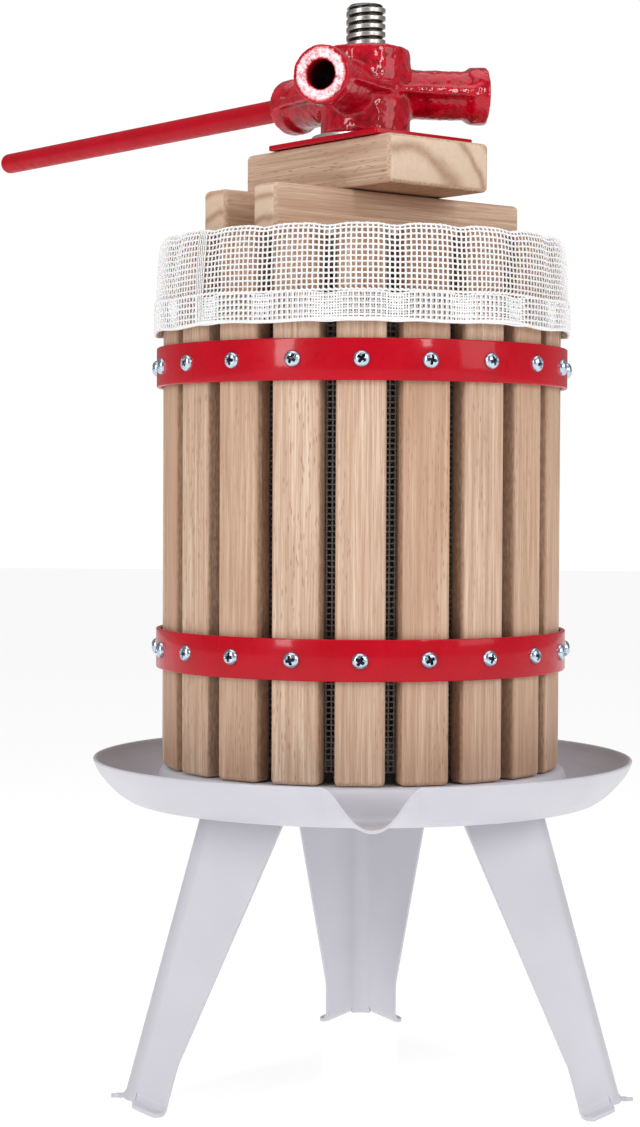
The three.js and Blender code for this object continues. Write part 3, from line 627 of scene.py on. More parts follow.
def make_screws(band, z):
    rng = np.random.default_rng(31 if band == "upper" else 32)
    points, quads, tips, depths = [], [], [], []
    first = 0
    seat = BAND_INNER + BAND_THICKNESS
    for azimuth in STAVE_AZIMUTHS:
        rings, recess, count = screw_points(rng.uniform(0, TAU))
        depths.append(np.append(recess.ravel(), 1.0))
        place = azimuth_frame(azimuth, Vector((*BASKET, z)))
        tilt = Matrix.Rotation(math.radians(rng.uniform(-2, 2)), 4, "Y")
        matrix = np.array(place @ Matrix.Translation((seat, 0, rng.uniform(-0.3, 0.3) * MM)) @ tilt)
        flat = rings.reshape(-1, 3)
        centre = [[flat[:count, 0].mean(), 0, 0]]
        local = np.vstack([flat, centre])
        points.append(local @ matrix[:3, :3].T + matrix[:3, 3])
        quads.append(grid_quads(len(rings), count, wrap_columns=True, start=first))
        hub = first + len(flat)
        ring_index = np.arange(count)
        tips.append(np.stack([np.full(count, hub), first + (ring_index + 1) % count, first + ring_index], 1))
        first += len(local)
    piece = mesh_from(f"band_{band}_screws", np.vstack(points), [np.vstack(quads), np.vstack(tips)])
    # The depth into each cross recess, which the material darkens as painted shade.
    store(piece.data, "depth", np.concatenate(depths))
    smooth(piece, 50)
    return finish_piece(piece, "basket", "zinc", BLUE_ZINC)


def make_bands():
    for band in ("upper", "lower"):
        node = f"band_{band}"
        low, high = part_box(node)
        inner, outer, corner = BAND_INNER, BAND_INNER + BAND_THICKNESS, 0.7 * MM
        loop = (arc((outer - corner, low.z + corner), corner, -90, 0, 5)
                + arc((outer - corner, high.z - corner), corner, 0, 90, 5)
                + arc((inner + corner, high.z - corner), corner, 90, 180, 5)
                + arc((inner + corner, low.z + corner), corner, 180, 270, 5))
        ripple = wobble(41 if band == "upper" else 42, 6, 3, 17)
        angles = around(360)
        loops = [[(r + 0.22 * MM * ripple(a), z) for r, z in loop] for a in angles]
        hoop = smooth(ring(f"{node}_hoop", angles, loops, BASKET), 60)
        finish_piece(hoop, "basket", "red_paint", RED_BAND, node)
        make_screws(band, (low.z + high.z) / 2)


# ---- mesh bag -----------------------------------------------------------------------------------

MESH_AROUND = 252  # upright threads round the collar
MESH_PITCH = 2.75 * MM
THREAD = 0.47 * MM  # radius
HEM = 12.5 * MM
SEAM_AZIMUTH = math.radians(222)
COLLAR_DROP = 45 * MM
LINER_DROP = 5 * MM  # the liner starts this far below the fold
LINER_THREAD = 0.46 * MM  # radius


def outwards(points):
    """Unit vectors level and away from the basket's axis, one for each point."""
    out = points - np.array([BASKET.x, BASKET.y, 0])
    out[..., 2] = 0
    return out / np.linalg.norm(out, axis=-1, keepdims=True)


def tube_grid(centres, normals, closed, radius, sides):
    """Tubes along rows of an array (rows, steps, 3), as points and faces.  Open tubes are capped."""
    rows, steps = centres.shape[:2]
    if closed:
        tangent = np.roll(centres, -1, 1) - np.roll(centres, 1, 1)
    else:
        tangent = np.gradient(centres, axis=1)
    tangent /= np.linalg.norm(tangent, axis=-1, keepdims=True)
    across = np.cross(tangent, normals)
    across /= np.linalg.norm(across, axis=-1, keepdims=True)
    up = np.cross(across, tangent)
    turn = around(sides) + math.pi / sides
    spokes = np.cos(turn)[:, None] * across[:, :, None] + np.sin(turn)[:, None] * up[:, :, None]
    points = centres[:, :, None] + radius * spokes
    one = grid_quads(steps, sides, wrap_rows=closed, wrap_columns=True)
    size = steps * sides
    quads = (one[None] + size * np.arange(rows)[:, None, None]).reshape(-1, 4)
    caps = []
    if not closed:
        start = np.arange(sides)
        ends = np.stack([start[::-1], (steps - 1) * sides + start])
        caps = (ends[None] + size * np.arange(rows)[:, None, None]).reshape(-1, sides)
    return points.reshape(-1, 3), quads, caps


def net(name, surface, columns, rows, radius, sides, weave, skew=0.0):
    """A square mesh of crossing threads on surface(angles, rows), which gives (angle, row, 3)."""
    angles = around(columns) + skew
    steps = np.arange(rows)
    points = surface(angles, steps)
    round_tangent = np.roll(points, -1, 0) - np.roll(points, 1, 0)
    normals = np.cross(round_tangent, np.gradient(points, axis=1))
    normals /= np.linalg.norm(normals, axis=-1, keepdims=True)
    parity = np.where((np.arange(columns)[:, None] + steps[None]) % 2, 1.0, -1.0)[..., None]
    upright = points + weave * parity * normals
    level = (points - weave * parity * normals).transpose(1, 0, 2)
    a, quads_a, caps = tube_grid(upright, normals, False, radius, sides)
    b, quads_b, _ = tube_grid(level, normals.transpose(1, 0, 2), True, radius, sides)
    piece = mesh_from(name, np.vstack([a, b]), [np.vstack([quads_a, quads_b + len(a)]), caps])
    return smooth(piece, 80)


def collar_surface(line, lift, seed):
    """The cloth folded over the staves: a smooth line of (radius, z), with slack and sag."""
    slack = wobble(seed, 7, 3, 11)
    wave = wobble(seed + 1, 6, 4, 14)
    creep = wobble(seed + 2, 8, 15, 60)
    top = line[:, 1].max()

    def surface(angles, steps):
        radius, height = line[steps, 0][None], line[steps, 1][None]
        angle = angles[:, None]
        outside = np.clip((radius - 96 * MM) / (7 * MM), 0, 1)
        down = np.clip((top - height) / COLLAR_DROP, 0, 1) * outside
        gap = (0.5 - 0.5 * np.cos(angle * STAVE_COUNT - FRONT * STAVE_COUNT)) ** 3
        sag = 1.6 * MM * gap * (1 - down) ** 2
        loose = 0.9 * MM * slack(angle) * down + 0.35 * MM * wave(angle) * down
        r = radius + outside * loose - sag * outside
        r = np.where(radius > 96 * MM, np.maximum(r, 102.6 * MM - 4 * MM * (1 - outside)), r) + lift
        droop = 1.5 * MM * (1 - np.cos(angle - FRONT - 0.15)) * np.abs(np.cos((angle - FRONT) / 2))
        z = height - sag * (1 - 0.4 * outside) + (1.5 * MM * wave(angle) + 0.5 * MM - droop) * down**2
        turn = angle + 0.35 * MM / r * creep(angle + 40 * height)
        return np.stack([BASKET.x + r * np.cos(turn), BASKET.y + r * np.sin(turn), z + 0 * r], -1)

    return surface


def make_bag():
    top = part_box("press_bag")[1].z - 0.7 * MM
    foot = STAVE_TOP - COLLAR_DROP + 0.6 * MM
    inside = 88.4 * MM
    over = curve_through(np.array([
        (inside, top - LINER_DROP), (inside + 0.4 * MM, top - 1.2 * MM), (91.5 * MM, top), (99.5 * MM, top),
        (102.2 * MM, top - 1.4 * MM), (103.4 * MM, top - 7 * MM), (104.3 * MM, top - 20 * MM),
        (104.7 * MM, foot + 10 * MM), (104.7 * MM, foot)]), MESH_PITCH)
    collar = net("bag_collar", collar_surface(over, 0, 61), MESH_AROUND, len(over), THREAD, 5, 0.2 * MM)
    rows = round(HEM / MESH_PITCH) + 1
    hem_line = over[-rows:] - np.array([0, 0.5 * MM])
    hem = net("bag_hem", collar_surface(hem_line, 1.1 * MM, 61), MESH_AROUND, rows, THREAD, 5, 0.2 * MM,
              skew=0.5 * TAU / MESH_AROUND)
    stitch = make_hem_thread(over, rows)
    seam = make_seam(over)
    for piece in (collar, hem, stitch, seam):
        finish_piece(piece, "basket", "bag_mesh", NET)
    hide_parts("press_bag")
    liner, base = make_liner(top, inside)
    # The liner and its bottom take the dark grey yarn, as painted shade.
    for piece in (liner, base):
        finish_piece(piece, "basket", "bag_mesh", NET_PAINTED_SHADE)


def make_seam(line):
    """The bag's upright seam: a narrow strip of threads side by side."""
    angles = SEAM_AZIMUTH + np.arange(-2, 3) * 0.0125
    path = collar_surface(line, 1.15 * MM, 61)(angles, np.arange(6, len(line)))
    points, quads, caps = tube_grid(path, outwards(path), False, 0.32 * MM, 6)
    return smooth(mesh_from("bag_seam", points, [quads, caps]), 80)


def make_hem_thread(line, rows):
    """The row of sewing and the folded edge that close the hem."""
    angles = around(4 * MESH_AROUND)
    parts = []
    for step, lift, radius in ((len(line) - rows, 1.3 * MM, 0.5 * MM), (len(line) - 1, 0.55 * MM, 0.95 * MM)):
        surface = collar_surface(line, lift, 61)
        path = surface(angles, np.array([step]))[:, 0]
        if step == len(line) - 1:
            path[:, 2] -= 0.4 * MM
        else:
            path[:, 2] += 0.35 * MM * np.sin(angles * MESH_AROUND)
        points, quads, _ = tube_grid(path[None], outwards(path)[None], True, radius, 6)
        parts.append(smooth(mesh_from("hem_part", points, [quads]), 80))
    return smooth(join("bag_hem_stitching", parts), 80)


def make_liner(top, inside):
    """The bag inside the basket, and its round bottom over the tray."""
    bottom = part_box("press_bag")[0].z
    foot = bottom + 0.9 * MM
    pitch = 2.8 * MM
    rows = round((top - LINER_DROP - foot) / pitch) + 1
    heights = np.linspace(foot, top - LINER_DROP, rows)
    count = 204
    ripple = wobble(71, 8, 9, 40)
    turn = around(count)
    columns_z = np.linspace(foot, top - LINER_DROP, 34)

    def wall(angle, height):
        r = inside + 0.25 * MM * ripple(angle + 9 * height)
        return np.stack([BASKET.x + r * np.cos(angle), BASKET.y + r * np.sin(angle), height + 0 * r], -1)

    upright = wall(turn[:, None], columns_z[None])
    level = wall(around(2 * count // 3)[None], heights[:, None])
    parts = []
    for name, rows_of, closed in (("upright", upright, False), ("level", level, True)):
        points, quads, caps = tube_grid(rows_of, outwards(rows_of), closed, LINER_THREAD, 4)
        parts.append(mesh_from(name, points, [quads, caps]))
    liner = smooth(join("bag_liner", parts), 80)
    base_parts = []
    hole = 21.5 * MM
    for axis in (0, 1):
        for offset in np.arange(-inside + pitch, inside, pitch):
            reach = math.sqrt(max(inside**2 - offset**2, 0))
            gap = math.sqrt(hole**2 - offset**2) if abs(offset) < hole else 0
            spans = [(-reach, -gap), (gap, reach)] if gap else [(-reach, reach)]
            for low, high in spans:
                t = np.linspace(low, high, 4)
                path = np.zeros((4, 3))
                path[:, axis] = t
                path[:, 1 - axis] = offset
                path += (BASKET.x, BASKET.y, bottom + (0.5 if axis else 0.9) * MM)
                base_parts.append(path)
    paths = np.array(base_parts)
    upwards = np.broadcast_to((0.0, 0.0, 1.0), paths.shape)
    points, quads, caps = tube_grid(paths, upwards, False, LINER_THREAD, 4)
    base = smooth(mesh_from("bag_bottom", points, [quads, caps]), 80)
    return liner, base


# ---- tray and legs ------------------------------------------------------------------------------

SHEET = 1.6 * MM
SPOUT_AZIMUTH = math.radians(271.9)
SPOUT_HALF = math.radians(9.9)
SPOUT_REACH = 10 * MM
WALL_FOOT = 119 * MM
RIM_RADIUS = 137.8 * MM
SPOUT_LIP_RISE = 1.4 * MM
SPOUT_POWER = 1.15  # over 1, the spout's sides are steeper than a cosine's
TRAY_WALL = [(119, 0), (122.1, 1.5), (125.2, 3.6), (128, 6.1), (130.6, 8.7), (132.4, 10.9), (134, 12.8),
             (135.2, 14.6), (136.3, 16.4), (137.1, 18.3), (137.8, 20)]  # radius and rise in mm


def tray_line(share):
    """The tray's underside from the hole to the rim, where the spout has taken over by a share."""
    under = FLOOR_TOP - SHEET
    line = [(r * MM, under) for r in (10.3, 40, 70, 92, 98)]
    line += [(100.4 * MM, under - 0.1 * MM), (101.8 * MM, under - 1 * MM), (102.8 * MM, under - 4 * MM),
             (103.5 * MM, GUTTER + 4 * MM), (104.4 * MM, GUTTER + 1.3 * MM), (106.2 * MM, GUTTER + 0.1 * MM),
             (112 * MM, GUTTER)]
    for r, rise in TRAY_WALL:
        along = (r * MM - WALL_FOOT) / (RIM_RADIUS - WALL_FOOT)
        channel = GUTTER + SPOUT_LIP_RISE * along
        z = GUTTER + rise * MM
        line.append((r * MM + SPOUT_REACH * along * share, z + (channel - z) * share))
    return np.array(line)


def make_tray():
    half = SPOUT_HALF
    angles = np.concatenate([np.linspace(-half, half, 60, endpoint=False),
                             np.linspace(half, TAU - half, 240, endpoint=False)])
    shares = []
    for a in angles:
        away = abs((a + math.pi) % TAU - math.pi) / half
        shares.append(math.cos(math.pi / 2 * away**SPOUT_POWER) ** 2 if away < 1 else 0.0)
    loops = []
    for share in shares:
        dense = curve_through(tray_line(share), 0.9 * MM)
        even = np.linspace(0, len(dense) - 1, 130)
        line = np.stack([np.interp(even, np.arange(len(dense)), dense[:, k]) for k in (0, 1)], -1)
        loops.append(rounded_profile(line, SHEET, 6))
    piece = ring("tray_sheet", angles + SPOUT_AZIMUTH, loops, AXIS)
    finish_piece(smooth(piece, 40), "stand", "stand_paint", POWDER, "tray")


LEGS = {"back": (90, 0.0), "left": (211, -5 * MM), "right": (332, 4.5 * MM)}
LEG_SHEET = 2 * MM
LEG_HALF = math.radians(54.6)
LEG_BEND = 10 * MM
BEND_SHARE = 0.2  # the bend's part of the way from the ridge to a wing's edge
RIDGE_TOP, RIDGE_FOOT = 91 * MM, 140 * MM
WING_TOP, WING_FOOT = 49 * MM, 23.5 * MM
TAPER_END = 23 * MM
TAB_DEPTH, TAB_CORNER = 9.5 * MM, 4 * MM
FOOT_BEND = 4.5 * MM
FOOT_RISE, FOOT_FLAT = 3.8 * MM, 0.5 * MM  # the foot slants up from the wings' edges to the ridge
FLANGE = (58 * MM, 88 * MM, 17)
LEG_TOP = FLOOR_TOP - SHEET - 0.3 * MM


def leg_section(z, across):
    """Mid-sheet point at a height: across is -1 to 1 from one wing's edge to the other's."""
    centre = RIDGE_FOOT + (RIDGE_TOP - RIDGE_FOOT) * z / LEG_TOP - LEG_BEND
    share = min(max((z - TAPER_END) / (LEG_TOP - TAPER_END), 0), 1)
    spread = math.pi / 2 - LEG_HALF
    wing = WING_FOOT + (WING_TOP - WING_FOOT) * share - LEG_BEND * spread
    middle = LEG_BEND - LEG_SHEET / 2
    side = 1 if across >= 0 else -1
    size = abs(across)
    if size <= BEND_SHARE:
        angle = spread * size / BEND_SHARE
        return Vector((centre + middle * math.cos(angle), side * middle * math.sin(angle), z))
    along = wing * (size - BEND_SHARE) / (1 - BEND_SHARE)
    x = centre + middle * math.sin(LEG_HALF) - along * math.cos(LEG_HALF)
    y = middle * math.cos(LEG_HALF) + along * math.sin(LEG_HALF)
    return Vector((x, side * y, z))


def foot_rise(across):
    """How far the foot's edge is above the floor, from the ridge to a wing's edge."""
    share = max(abs(across) - BEND_SHARE, 0) / (1 - BEND_SHARE)
    return max(FOOT_RISE - (FOOT_RISE + FOOT_FLAT) * share, 0)


def tab_depth(share, length):
    """How far a foot tab reaches out at a share of its length, with its corners rounded."""
    inset = min(share, 1 - share) * length
    if inset >= TAB_CORNER:
        return TAB_DEPTH
    return TAB_DEPTH - TAB_CORNER + math.sqrt(max(TAB_CORNER**2 - (TAB_CORNER - inset) ** 2, 0))


def leg_sheet():
    """The V of sheet and its two foot tabs as one mid-surface of quads."""
    wing_steps, bend_steps = 12, 4
    ease = (1 - np.cos(np.linspace(0, math.pi, wing_steps + 1))) / 2
    wing = BEND_SHARE + (1 - BEND_SHARE) * ease
    bend = np.linspace(-BEND_SHARE, BEND_SHARE, 2 * bend_steps + 1)
    across = np.concatenate([-wing[::-1], bend[1:-1], wing])
    heights = np.concatenate([np.linspace(LEG_TOP - 1 * MM, TAPER_END + 12 * MM, 14),
                              np.linspace(TAPER_END + 8 * MM, FOOT_BEND + 1 * MM, 8)])
    points = []
    for z in heights:
        low = min(max((TAPER_END + 12 * MM - z) / (TAPER_END + 11 * MM - FOOT_BEND), 0), 1)
        points += [leg_section(z + low * foot_rise(a), a) for a in across]
    columns = len(across)
    quads = list(grid_quads(len(heights), columns))
    last = (len(heights) - 1) * columns
    slope = (RIDGE_FOOT - RIDGE_TOP) / LEG_TOP
    ridge = [j for j, a in enumerate(across) if abs(a) <= BEND_SHARE + 1e-9]
    previous = [last + j for j in ridge]
    for share in (0.5, 1):
        row = []
        for j in ridge:
            row.append(len(points))
            drop = share * (FOOT_BEND + 0.6 * MM)
            points.append(leg_section(heights[-1] + FOOT_RISE - drop, across[j]))
        quads += [(previous[k], previous[k + 1], row[k + 1], row[k]) for k in range(len(row) - 1)]
        previous = row
    for side in (-1, 1):
        picks = [j for j, a in enumerate(across) if side * a >= BEND_SHARE - 1e-9]
        picks.sort(key=lambda j: abs(across[j]))
        out = Vector((math.sin(LEG_HALF), side * math.cos(LEG_HALF), 0))
        edge = [last + j for j in picks]
        ends = [points[j] for j in edge]
        length = (ends[-1] - ends[0]).length
        lean = slope * math.sin(LEG_HALF)
        steps = 7
        previous = edge
        for k in range(1, steps + 5):
            row = []
            for j, root in zip(range(len(picks)), ends):
                share = (root - ends[0]).length / length
                reach = tab_depth(share, length)
                start = min(FOOT_BEND, reach * 0.8)
                level = LEG_SHEET / 2 + max(FOOT_RISE - (FOOT_RISE + FOOT_FLAT) * share, 0.1 * MM)
                if k <= steps:
                    angle = math.pi / 2 * k / steps
                    z = level + (root.z - level) * (1 - math.sin(angle))
                    forward = start * (1 - math.cos(angle)) + lean * (root.z - z) * (1 - k / steps)
                else:
                    z = level
                    forward = start + (reach - start) * (k - steps) / 4
                row.append(len(points))
                points.append(Vector((root.x, root.y, z)) + out * forward)
            quads += [(previous[j], previous[j + 1], row[j + 1], row[j]) for j in range(len(row) - 1)]
            previous = row
    return clean(mesh_from("leg_sheet", points, [quads]), 1e-5)


def make_legs():
    for place, (azimuth, outset) in LEGS.items():
        sheet = leg_sheet()
        sheet.data.transform(Matrix.Translation((outset, 0, 0)))
        skin = sheet.modifiers.new("skin", "SOLIDIFY")
        skin.thickness = LEG_SHEET
        skin.offset = 0
        skin.use_even_offset = True
        freeze(sheet)
        bevelled(sheet, 0.45 * MM, 2, 50)
        inner, outer, half = FLANGE
        flange = prism("flange", arc((0, 0), outer, -half, half, 24) + arc((0, 0), inner, half, -half, 24),
                       LEG_TOP - LEG_SHEET, LEG_TOP)
        bevelled(flange, 0.4 * MM, 2)
        piece = join(f"leg_{place}_sheet", [sheet, flange])
        piece.data.transform(azimuth_frame(math.radians(azimuth), Vector((*AXIS, 0))))
        finish_piece(smooth(piece, 40), "stand", "stand_paint", POWDER, f"leg_{place}")


def hex_radius(flats, angles):
    return flats / 2 / np.cos((angles + TAU / 12) % (TAU / 6) - TAU / 12)


def nut(name, centre, low, high, flats, bore, count=120):
    """A hexagon nut with its corners turned down on both faces."""
    angles = around(count)
    edge = hex_radius(flats, angles)
    chamfer = 0.12 * (high - low)
    cone = flats / 2 * 1.02
    loops = []
    for radius in edge:
        crown = min(radius, cone)
        loops.append([(bore, low), (crown - 0.2 * MM, low), (crown, low + 0.15 * MM),
                      (radius, low + chamfer), (radius, high - chamfer),
                      (crown, high - 0.15 * MM), (crown - 0.2 * MM, high), (bore, high)])
    return smooth(ring(name, angles, loops, centre), 28)


def make_fasteners():
    for leg in LEGS:
        for i in (1, 2):
            low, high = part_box(f"leg_bolt_{leg}_{i}")
            centre = ((low + high) / 2).to_2d()
            seat = FLOOR_TOP + 0.1 * MM
            head, shank = 4 * MM, 2 * MM
            rise = high.z - seat
            dome = [(head * math.cos(a), seat + 1.3 * MM + (rise - 1.3 * MM) * math.sin(a))
                    for a in np.linspace(0, math.pi / 2 - 0.01, 10)]
            outline = [(0, low.z), (shank - 0.4 * MM, low.z), (shank, low.z + 0.5 * MM), (shank, seat),
                       (head - 0.2 * MM, seat), (head, seat + 0.3 * MM)] + dome + [(0, high.z)]
            bolt = smooth(turned(f"leg_bolt_{leg}_{i}_head", outline, 40, centre), 50)
            finish_piece(bolt, "stand", "stand_paint", POWDER, f"leg_bolt_{leg}_{i}")
            low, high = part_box(f"leg_nut_{leg}_{i}")
            piece = nut(f"leg_nut_{leg}_{i}_hex", centre, low.z, high.z, 8 * MM, 2.2 * MM)
            finish_piece(piece, "stand", "zinc", ZINC, f"leg_nut_{leg}_{i}")
    for node in ("spindle_nut_upper", "spindle_nut_lower"):
        low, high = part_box(node)
        piece = nut(f"{node}_hex", AXIS, low.z, high.z, 30 * MM, 10.1 * MM)
        finish_piece(piece, "stand", "zinc", ZINC, node)
    for node, body in (("spindle_washer", "stand"), ("thrust_washer", "press_stack")):
        low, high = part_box(node)
        outer, soft = (high.x - low.x) / 2, 0.5 * MM
        loop = (arc((outer - soft, low.z + soft), soft, -90, 0, 5)
                + arc((outer - soft, high.z - soft), soft, 0, 90, 5)
                + [(10.6 * MM, high.z), (10.3 * MM, high.z - 0.3 * MM),
                   (10.3 * MM, low.z + 0.3 * MM), (10.6 * MM, low.z)])
        piece = smooth(turned(f"{node}_disc", loop, 128, AXIS), 40)
        finish_piece(piece, body, "zinc", ZINC, node)


def make_thrust_plate():
    low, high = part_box("thrust_plate")
    width, length, corner = 64 * MM, 86 * MM, 1.5 * MM
    x, y = width / 2 - corner, length / 2 - corner
    outline = (arc((x, y), corner, 0, 90, 6) + arc((-x, y), corner, 90, 180, 6)
               + arc((-x, -y), corner, 180, 270, 6) + arc((x, -y), corner, 270, 360, 6))
    piece = prism("thrust_plate_sheet", outline, low.z, high.z)
    middle = (low + high) / 2
    piece.data.transform(azimuth_frame(GRAIN_AZIMUTH, Vector((middle.x, middle.y, 0))))
    carve(piece, [drill(16 * MM, low.z, high.z, 64)])
    bevelled(piece, 0.5 * MM, 3, 50)
    finish_piece(smooth(piece, 40), "press_stack", "red_paint", RED_BAND, "thrust_plate")


# ---- spindle ------------------------------------------------------------------------------------

PITCH = 4 * MM
ROOT = 8.5 * MM


def make_spindle():
    """A right-hand trapezoidal thread from end to end, its rows following the helix."""
    columns, per_turn = 56, 16
    low, high = spindle_low.z, spindle_high.z
    turns = math.ceil((high - low) / PITCH) + 1
    places, heights = [0, 0.06, 0.25, 0.38, 0.92, 1], [0.3, 0, 0, 1, 1, 0.3]
    profile = np.interp(np.arange(per_turn) / per_turn, places, heights)
    rows = np.arange(-per_turn, turns * per_turn)
    raw_z = low + PITCH * (rows[:, None] / per_turn + np.arange(columns)[None] / columns)
    z = np.clip(raw_z, low, high)
    crest = profile[rows % per_turn][:, None]
    radius = ROOT + (THREAD_RADIUS - ROOT) * crest + 0 * z
    end = ROOT - 0.4 * MM  # the rod's chamfered ends
    limit = end + np.minimum(z - low, high - z) * 1.0
    radius = np.minimum(radius, limit)
    radius[(raw_z <= low) | (raw_z >= high)] = end
    angle = around(columns)[None]
    points = np.stack([AXIS.x + radius * np.cos(angle), AXIS.y + radius * np.sin(angle), z], -1)
    count = len(rows)
    index = np.arange(count * columns).reshape(count, columns)
    quads = [np.stack([index[:-1, :-1], index[:-1, 1:], index[1:, 1:], index[1:, :-1]], -1).reshape(-1, 4)]
    left, right = index[:-per_turn, -1], index[per_turn:, 0]
    quads.append(np.stack([left[:-1], right[:-1], right[1:], left[1:]], -1))
    total = count * columns
    caps = []
    for height, ring_row in ((low, index[0]), (high, index[-1])):
        caps.append(np.stack([np.full(columns, total + len(caps)), ring_row, np.roll(ring_row, -1)], 1))
    centres = [[AXIS.x, AXIS.y, low], [AXIS.x, AXIS.y, high]]
    points = np.vstack([points.reshape(-1, 3), centres])
    piece = mesh_from("spindle_thread", points, [np.vstack(quads), np.vstack(caps)])
    clean(piece, 2e-6)
    co = coordinates(piece.data)
    out = np.hypot(co[:, 0] - AXIS.x, co[:, 1] - AXIS.y)
    depth = np.clip((THREAD_RADIUS - 0.25 * MM - out) / (THREAD_RADIUS - ROOT - 0.25 * MM), 0, 1)
    depth[(co[:, 2] < low + 0.1 * MM) | (co[:, 2] > high - 0.1 * MM)] = 0.15
    store(piece.data, "depth", depth)
    finish_piece(smooth(piece, 45), "stand", "spindle_steel", SPINDLE_STEEL, "spindle")


# ---- cast head and bar --------------------------------------------------------------------------

head_low, head_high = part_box("press_head")
SOCKET_Z = (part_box("handle_bar")[0].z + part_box("handle_bar")[1].z) / 2
SOCKET_END = 62.5 * MM
HUB_RADIUS = 22.8 * MM


def lying(name, outline, count, azimuth):
    """A lathed piece with its axis level, outwards along an azimuth from the spindle."""
    piece = turned(name, outline, count, (0, 0))
    turn = Matrix.Rotation(azimuth, 4, "Z") @ Matrix.Rotation(math.radians(90), 4, "Y")
    piece.data.transform(Matrix.Translation((AXIS.x, AXIS.y, SOCKET_Z)) @ turn)
    return piece


def head_blank():
    """The casting before its skin: hub, sockets with lips, and the web between them, bored."""
    low, high = head_low.z, head_high.z
    hub = turned("press_head_casting", [(0, low), (HUB_RADIUS, low), (HUB_RADIUS, high - 1.2 * MM),
                                (HUB_RADIUS - 1.2 * MM, high), (0, high)], 96, AXIS)
    body, lip, start = 12.4 * MM, 14.6 * MM, SOCKET_END - 9 * MM
    added = []
    for azimuth in SOCKET_AZIMUTHS:
        added.append(lying("socket", [(0, 0), (body, 0), (body, start - 2.5 * MM), (lip, start + 0.5 * MM),
                                      (lip, SOCKET_END), (0, SOCKET_END)], 72, azimuth))
        web = prism("web", [(0, -22 * MM), (SOCKET_END - 2 * MM, -14.4 * MM),
                            (SOCKET_END - 2 * MM, 14.4 * MM), (0, 22 * MM)],
                    SOCKET_Z - 2.3 * MM, SOCKET_Z + 2.3 * MM)
        web.data.transform(azimuth_frame(azimuth, Vector((*AXIS, 0))))
        added.append(web)
    carve(hub, added, "UNION")
    bores = [lying("bore", [(0, 20 * MM), (7.3 * MM, 20 * MM), (7.3 * MM, 80 * MM), (0, 80 * MM)], 64, a)
             for a in SOCKET_AZIMUTHS]
    bores.append(drill(10.3 * MM, low, high, 72))
    return carve(hub, bores)


def relax(co, edges, share, rounds):
    """Laplacian smoothing of an (n, 3) array; share is each point's strength, 0 to 1."""
    degree = np.bincount(edges.ravel(), minlength=len(co))[:, None]
    for _ in range(rounds):
        total = np.zeros_like(co)
        np.add.at(total, edges[:, 0], co[edges[:, 1]])
        np.add.at(total, edges[:, 1], co[edges[:, 0]])
        co += share[:, None] * 0.6 * (total / degree - co)
    return co


def make_head():
    """The blank with filleted corners and the lumpy skin of a sand casting."""
    piece = head_blank()
    remesh = piece.modifiers.new("skin", "REMESH")
    remesh.mode = "VOXEL"
    remesh.voxel_size = 0.8 * MM
    freeze(piece)
    mesh = piece.data
    co = coordinates(mesh)
    count = len(co)
    edges = np.empty(len(mesh.edges) * 2, np.int64)
    mesh.edges.foreach_get("vertices", edges)
    edges = edges.reshape(-1, 2)
    flat = co[:, :2] - np.array(AXIS)
    out = np.hypot(flat[:, 0], flat[:, 1])
    spokes = np.array([(math.cos(a), math.sin(a)) for a in SOCKET_AZIMUTHS])
    reach = (flat @ spokes.T).max(1)
    nearest = (flat @ spokes.T).argmax(1)
    aside = flat[:, 0] * -spokes[nearest, 1] + flat[:, 1] * spokes[nearest, 0]
    tube = np.hypot(aside, co[:, 2] - SOCKET_Z)
    junction = np.clip(1 - np.abs(out - 25 * MM) / (9 * MM), 0, 1)
    bored = ((tube < 8.2 * MM) & (reach > 19 * MM)) | (out < 11.2 * MM)
    mouth = reach > SOCKET_END - 0.6 * MM
    base = np.full(count, 0.8)
    base[bored] = 0.3
    co = relax(co, edges, base, 4)
    co = relax(co, edges, junction * ~bored, 14)
    mesh.vertices.foreach_set("co", co.ravel())
    mesh.update()
    normals = np.empty(count * 3)
    mesh.vertices.foreach_get("normal", normals)
    normals = normals.reshape(-1, 3)
    skin = np.array([
        noise.fractal(Vector(p) * 330, 0.9, 2.1, 3) + 0.8 * noise.noise(Vector(p) * 130) for p in co])
    calm = np.where(bored | mouth, 0.12, 1.0)
    co += normals * (0.26 * MM * skin * calm)[:, None]
    mesh.vertices.foreach_set("co", co.ravel())
    # The ring of each socket's end face, coloured pale in the material as wear and as a painted highlight.
    worn_and_highlight = np.clip((13.3 * MM - tube) / (1.2 * MM), 0, 1) * np.clip((tube - 7.2 * MM) / (0.8 * MM), 0, 1)
    # The bores' insides, coloured near black in the material as painted shade.
    inside = np.clip((SOCKET_END - 1.5 * MM - reach) / (5 * MM), 0, 1) * (tube < 8.2 * MM) * (reach > 19 * MM)
    store(mesh, "inside", inside)
    store(mesh, "worn_and_highlight", worn_and_highlight * mouth)
    mesh.update()
    finish_piece(smooth(piece, 60), "press_head", "red_casting", RED_CASTING, "press_head")


def make_bar():
    low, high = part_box("handle_bar")
    azimuth = SOCKET_AZIMUTHS[1]
    tip = 351.5 * MM
    radius = (high.z - low.z) / 2
    soft = 3 * MM
    outline = ([(0, 22 * MM)] + arc((radius - 1 * MM, 23 * MM), 1 * MM, -90, 0, 5)
               + [(radius, s) for s in np.linspace(30, 345, 40) * MM]
               + arc((radius - soft, tip - soft), soft, 0, 90, 7) + [(0, tip)])
    piece = lying("handle_bar_rod", outline, 64, azimuth)
    finish_piece(smooth(piece, 50), "handle", "red_bar", RED_BAR, "handle_bar")


# ---- floor, light and camera --------------------------------------------------------------------

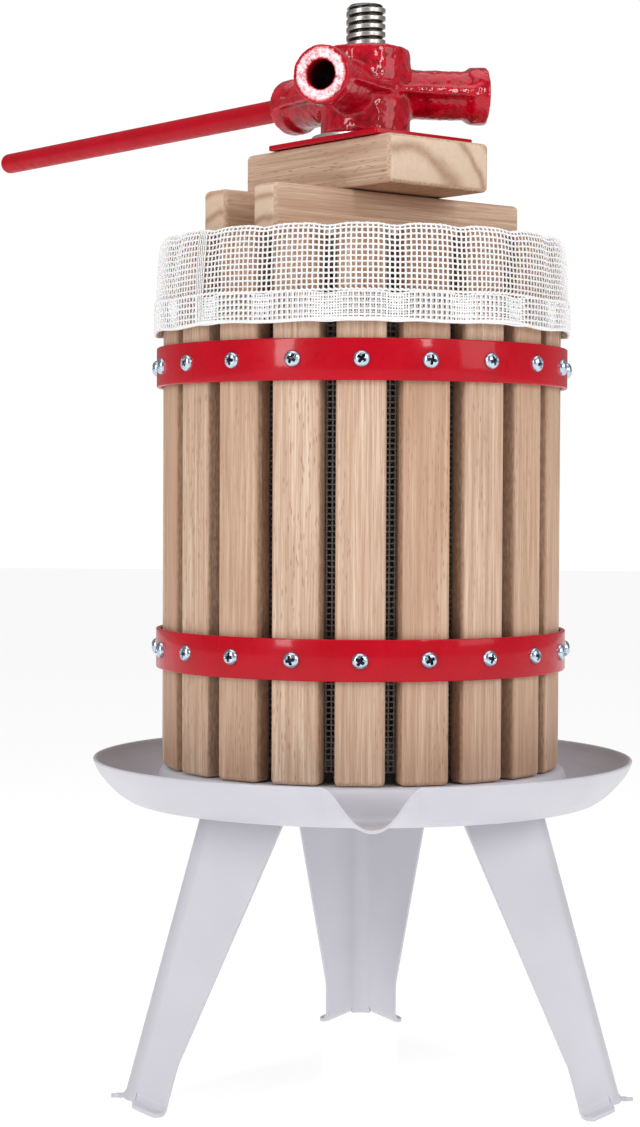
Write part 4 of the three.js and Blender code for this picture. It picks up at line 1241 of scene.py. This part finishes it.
def make_stage():
    below = -0.4 * MM
    corners = [(x, y, below) for x, y in ((-6, -6), (6, -6), (6, 8), (-6, 8))]
    floor = mesh_from("floor", corners, [[(0, 1, 2, 3)]])
    m = Nodes("floor", Base_Color=(0.5, 0.5, 0.5, 1), Roughness=0.16, Specular_IOR_Level=0.3,
              Emission_Color=(1, 1, 1, 1), Emission_Strength=0.73)  # it glows, to look as white as the world
    floor.data.materials.append(m.material)


def area_light(name, place, target, size, power, colour=(1, 1, 1)):
    data = bpy.data.lights.new(name, "AREA")
    data.shape = "RECTANGLE"
    data.size, data.size_y = size
    data.energy = power
    data.color = colour
    lamp = bpy.data.objects.new(name, data)
    bpy.context.scene.collection.objects.link(lamp)
    lamp.location = place
    lamp.rotation_euler = (Vector(target) - Vector(place)).to_track_quat("-Z", "Y").to_euler()


def make_lights():
    x, y = AXIS
    middle = (x, y, 0.3)
    area_light("key", (x - 1.15, y - 1.3, 0.95), middle, (0.3, 1.3), 14)
    area_light("accent", (x + 0.94, y - 1.3, 1.0), (x, y, 0.45), (0.16, 0.7), 5.5)
    area_light("fill", (x + 1.5, y - 0.7, 0.9), middle, (0.7, 1.2), 7)
    area_light("top", (x, y - 0.1, 1.9), middle, (1.6, 1.6), 12.5)
    world = bpy.data.worlds.new("studio")
    bpy.context.scene.world = world
    world.use_nodes = True
    tree = world.node_tree
    background = tree.nodes["Background"]
    background.inputs["Color"].default_value = (1, 1, 1, 1)
    path = tree.nodes.new("ShaderNodeLightPath")
    strength = tree.nodes.new("ShaderNodeMapRange")  # white to look at, dimmer as a light
    strength.inputs["To Min"].default_value = 0.26
    strength.inputs["To Max"].default_value = 1.02
    tree.links.new(path.outputs["Is Camera Ray"], strength.inputs["Value"])
    tree.links.new(strength.outputs[0], background.inputs["Strength"])


def make_camera():
    distance, height = 1.243, 0.3026
    yaw, pitch, roll = math.radians(1.02), 0.030, 0.0047
    focal_share = 2422 / 1127  # focal length over the long side of the picture
    data = bpy.data.cameras.new("camera")
    data.sensor_width = 36
    data.lens = 36 * focal_share
    data.clip_start = 0.05
    camera = bpy.data.objects.new("camera", data)
    bpy.context.scene.collection.objects.link(camera)
    turn = (Matrix.Rotation(yaw, 4, "Z") @ Matrix.Rotation(math.pi / 2 - pitch, 4, "X")
            @ Matrix.Rotation(roll, 4, "Z"))
    camera.matrix_world = Matrix.Translation((AXIS.x, AXIS.y - distance, height)) @ turn
    bpy.context.scene.camera = camera


make_camera()
make_stage()
make_lights()
make_staves()
make_blocks()
make_bands()
make_bag()
make_tray()
make_legs()
make_fasteners()
make_thrust_plate()
make_spindle()
make_head()
make_bar()

bpy.context.scene.view_settings.view_transform = "Standard"
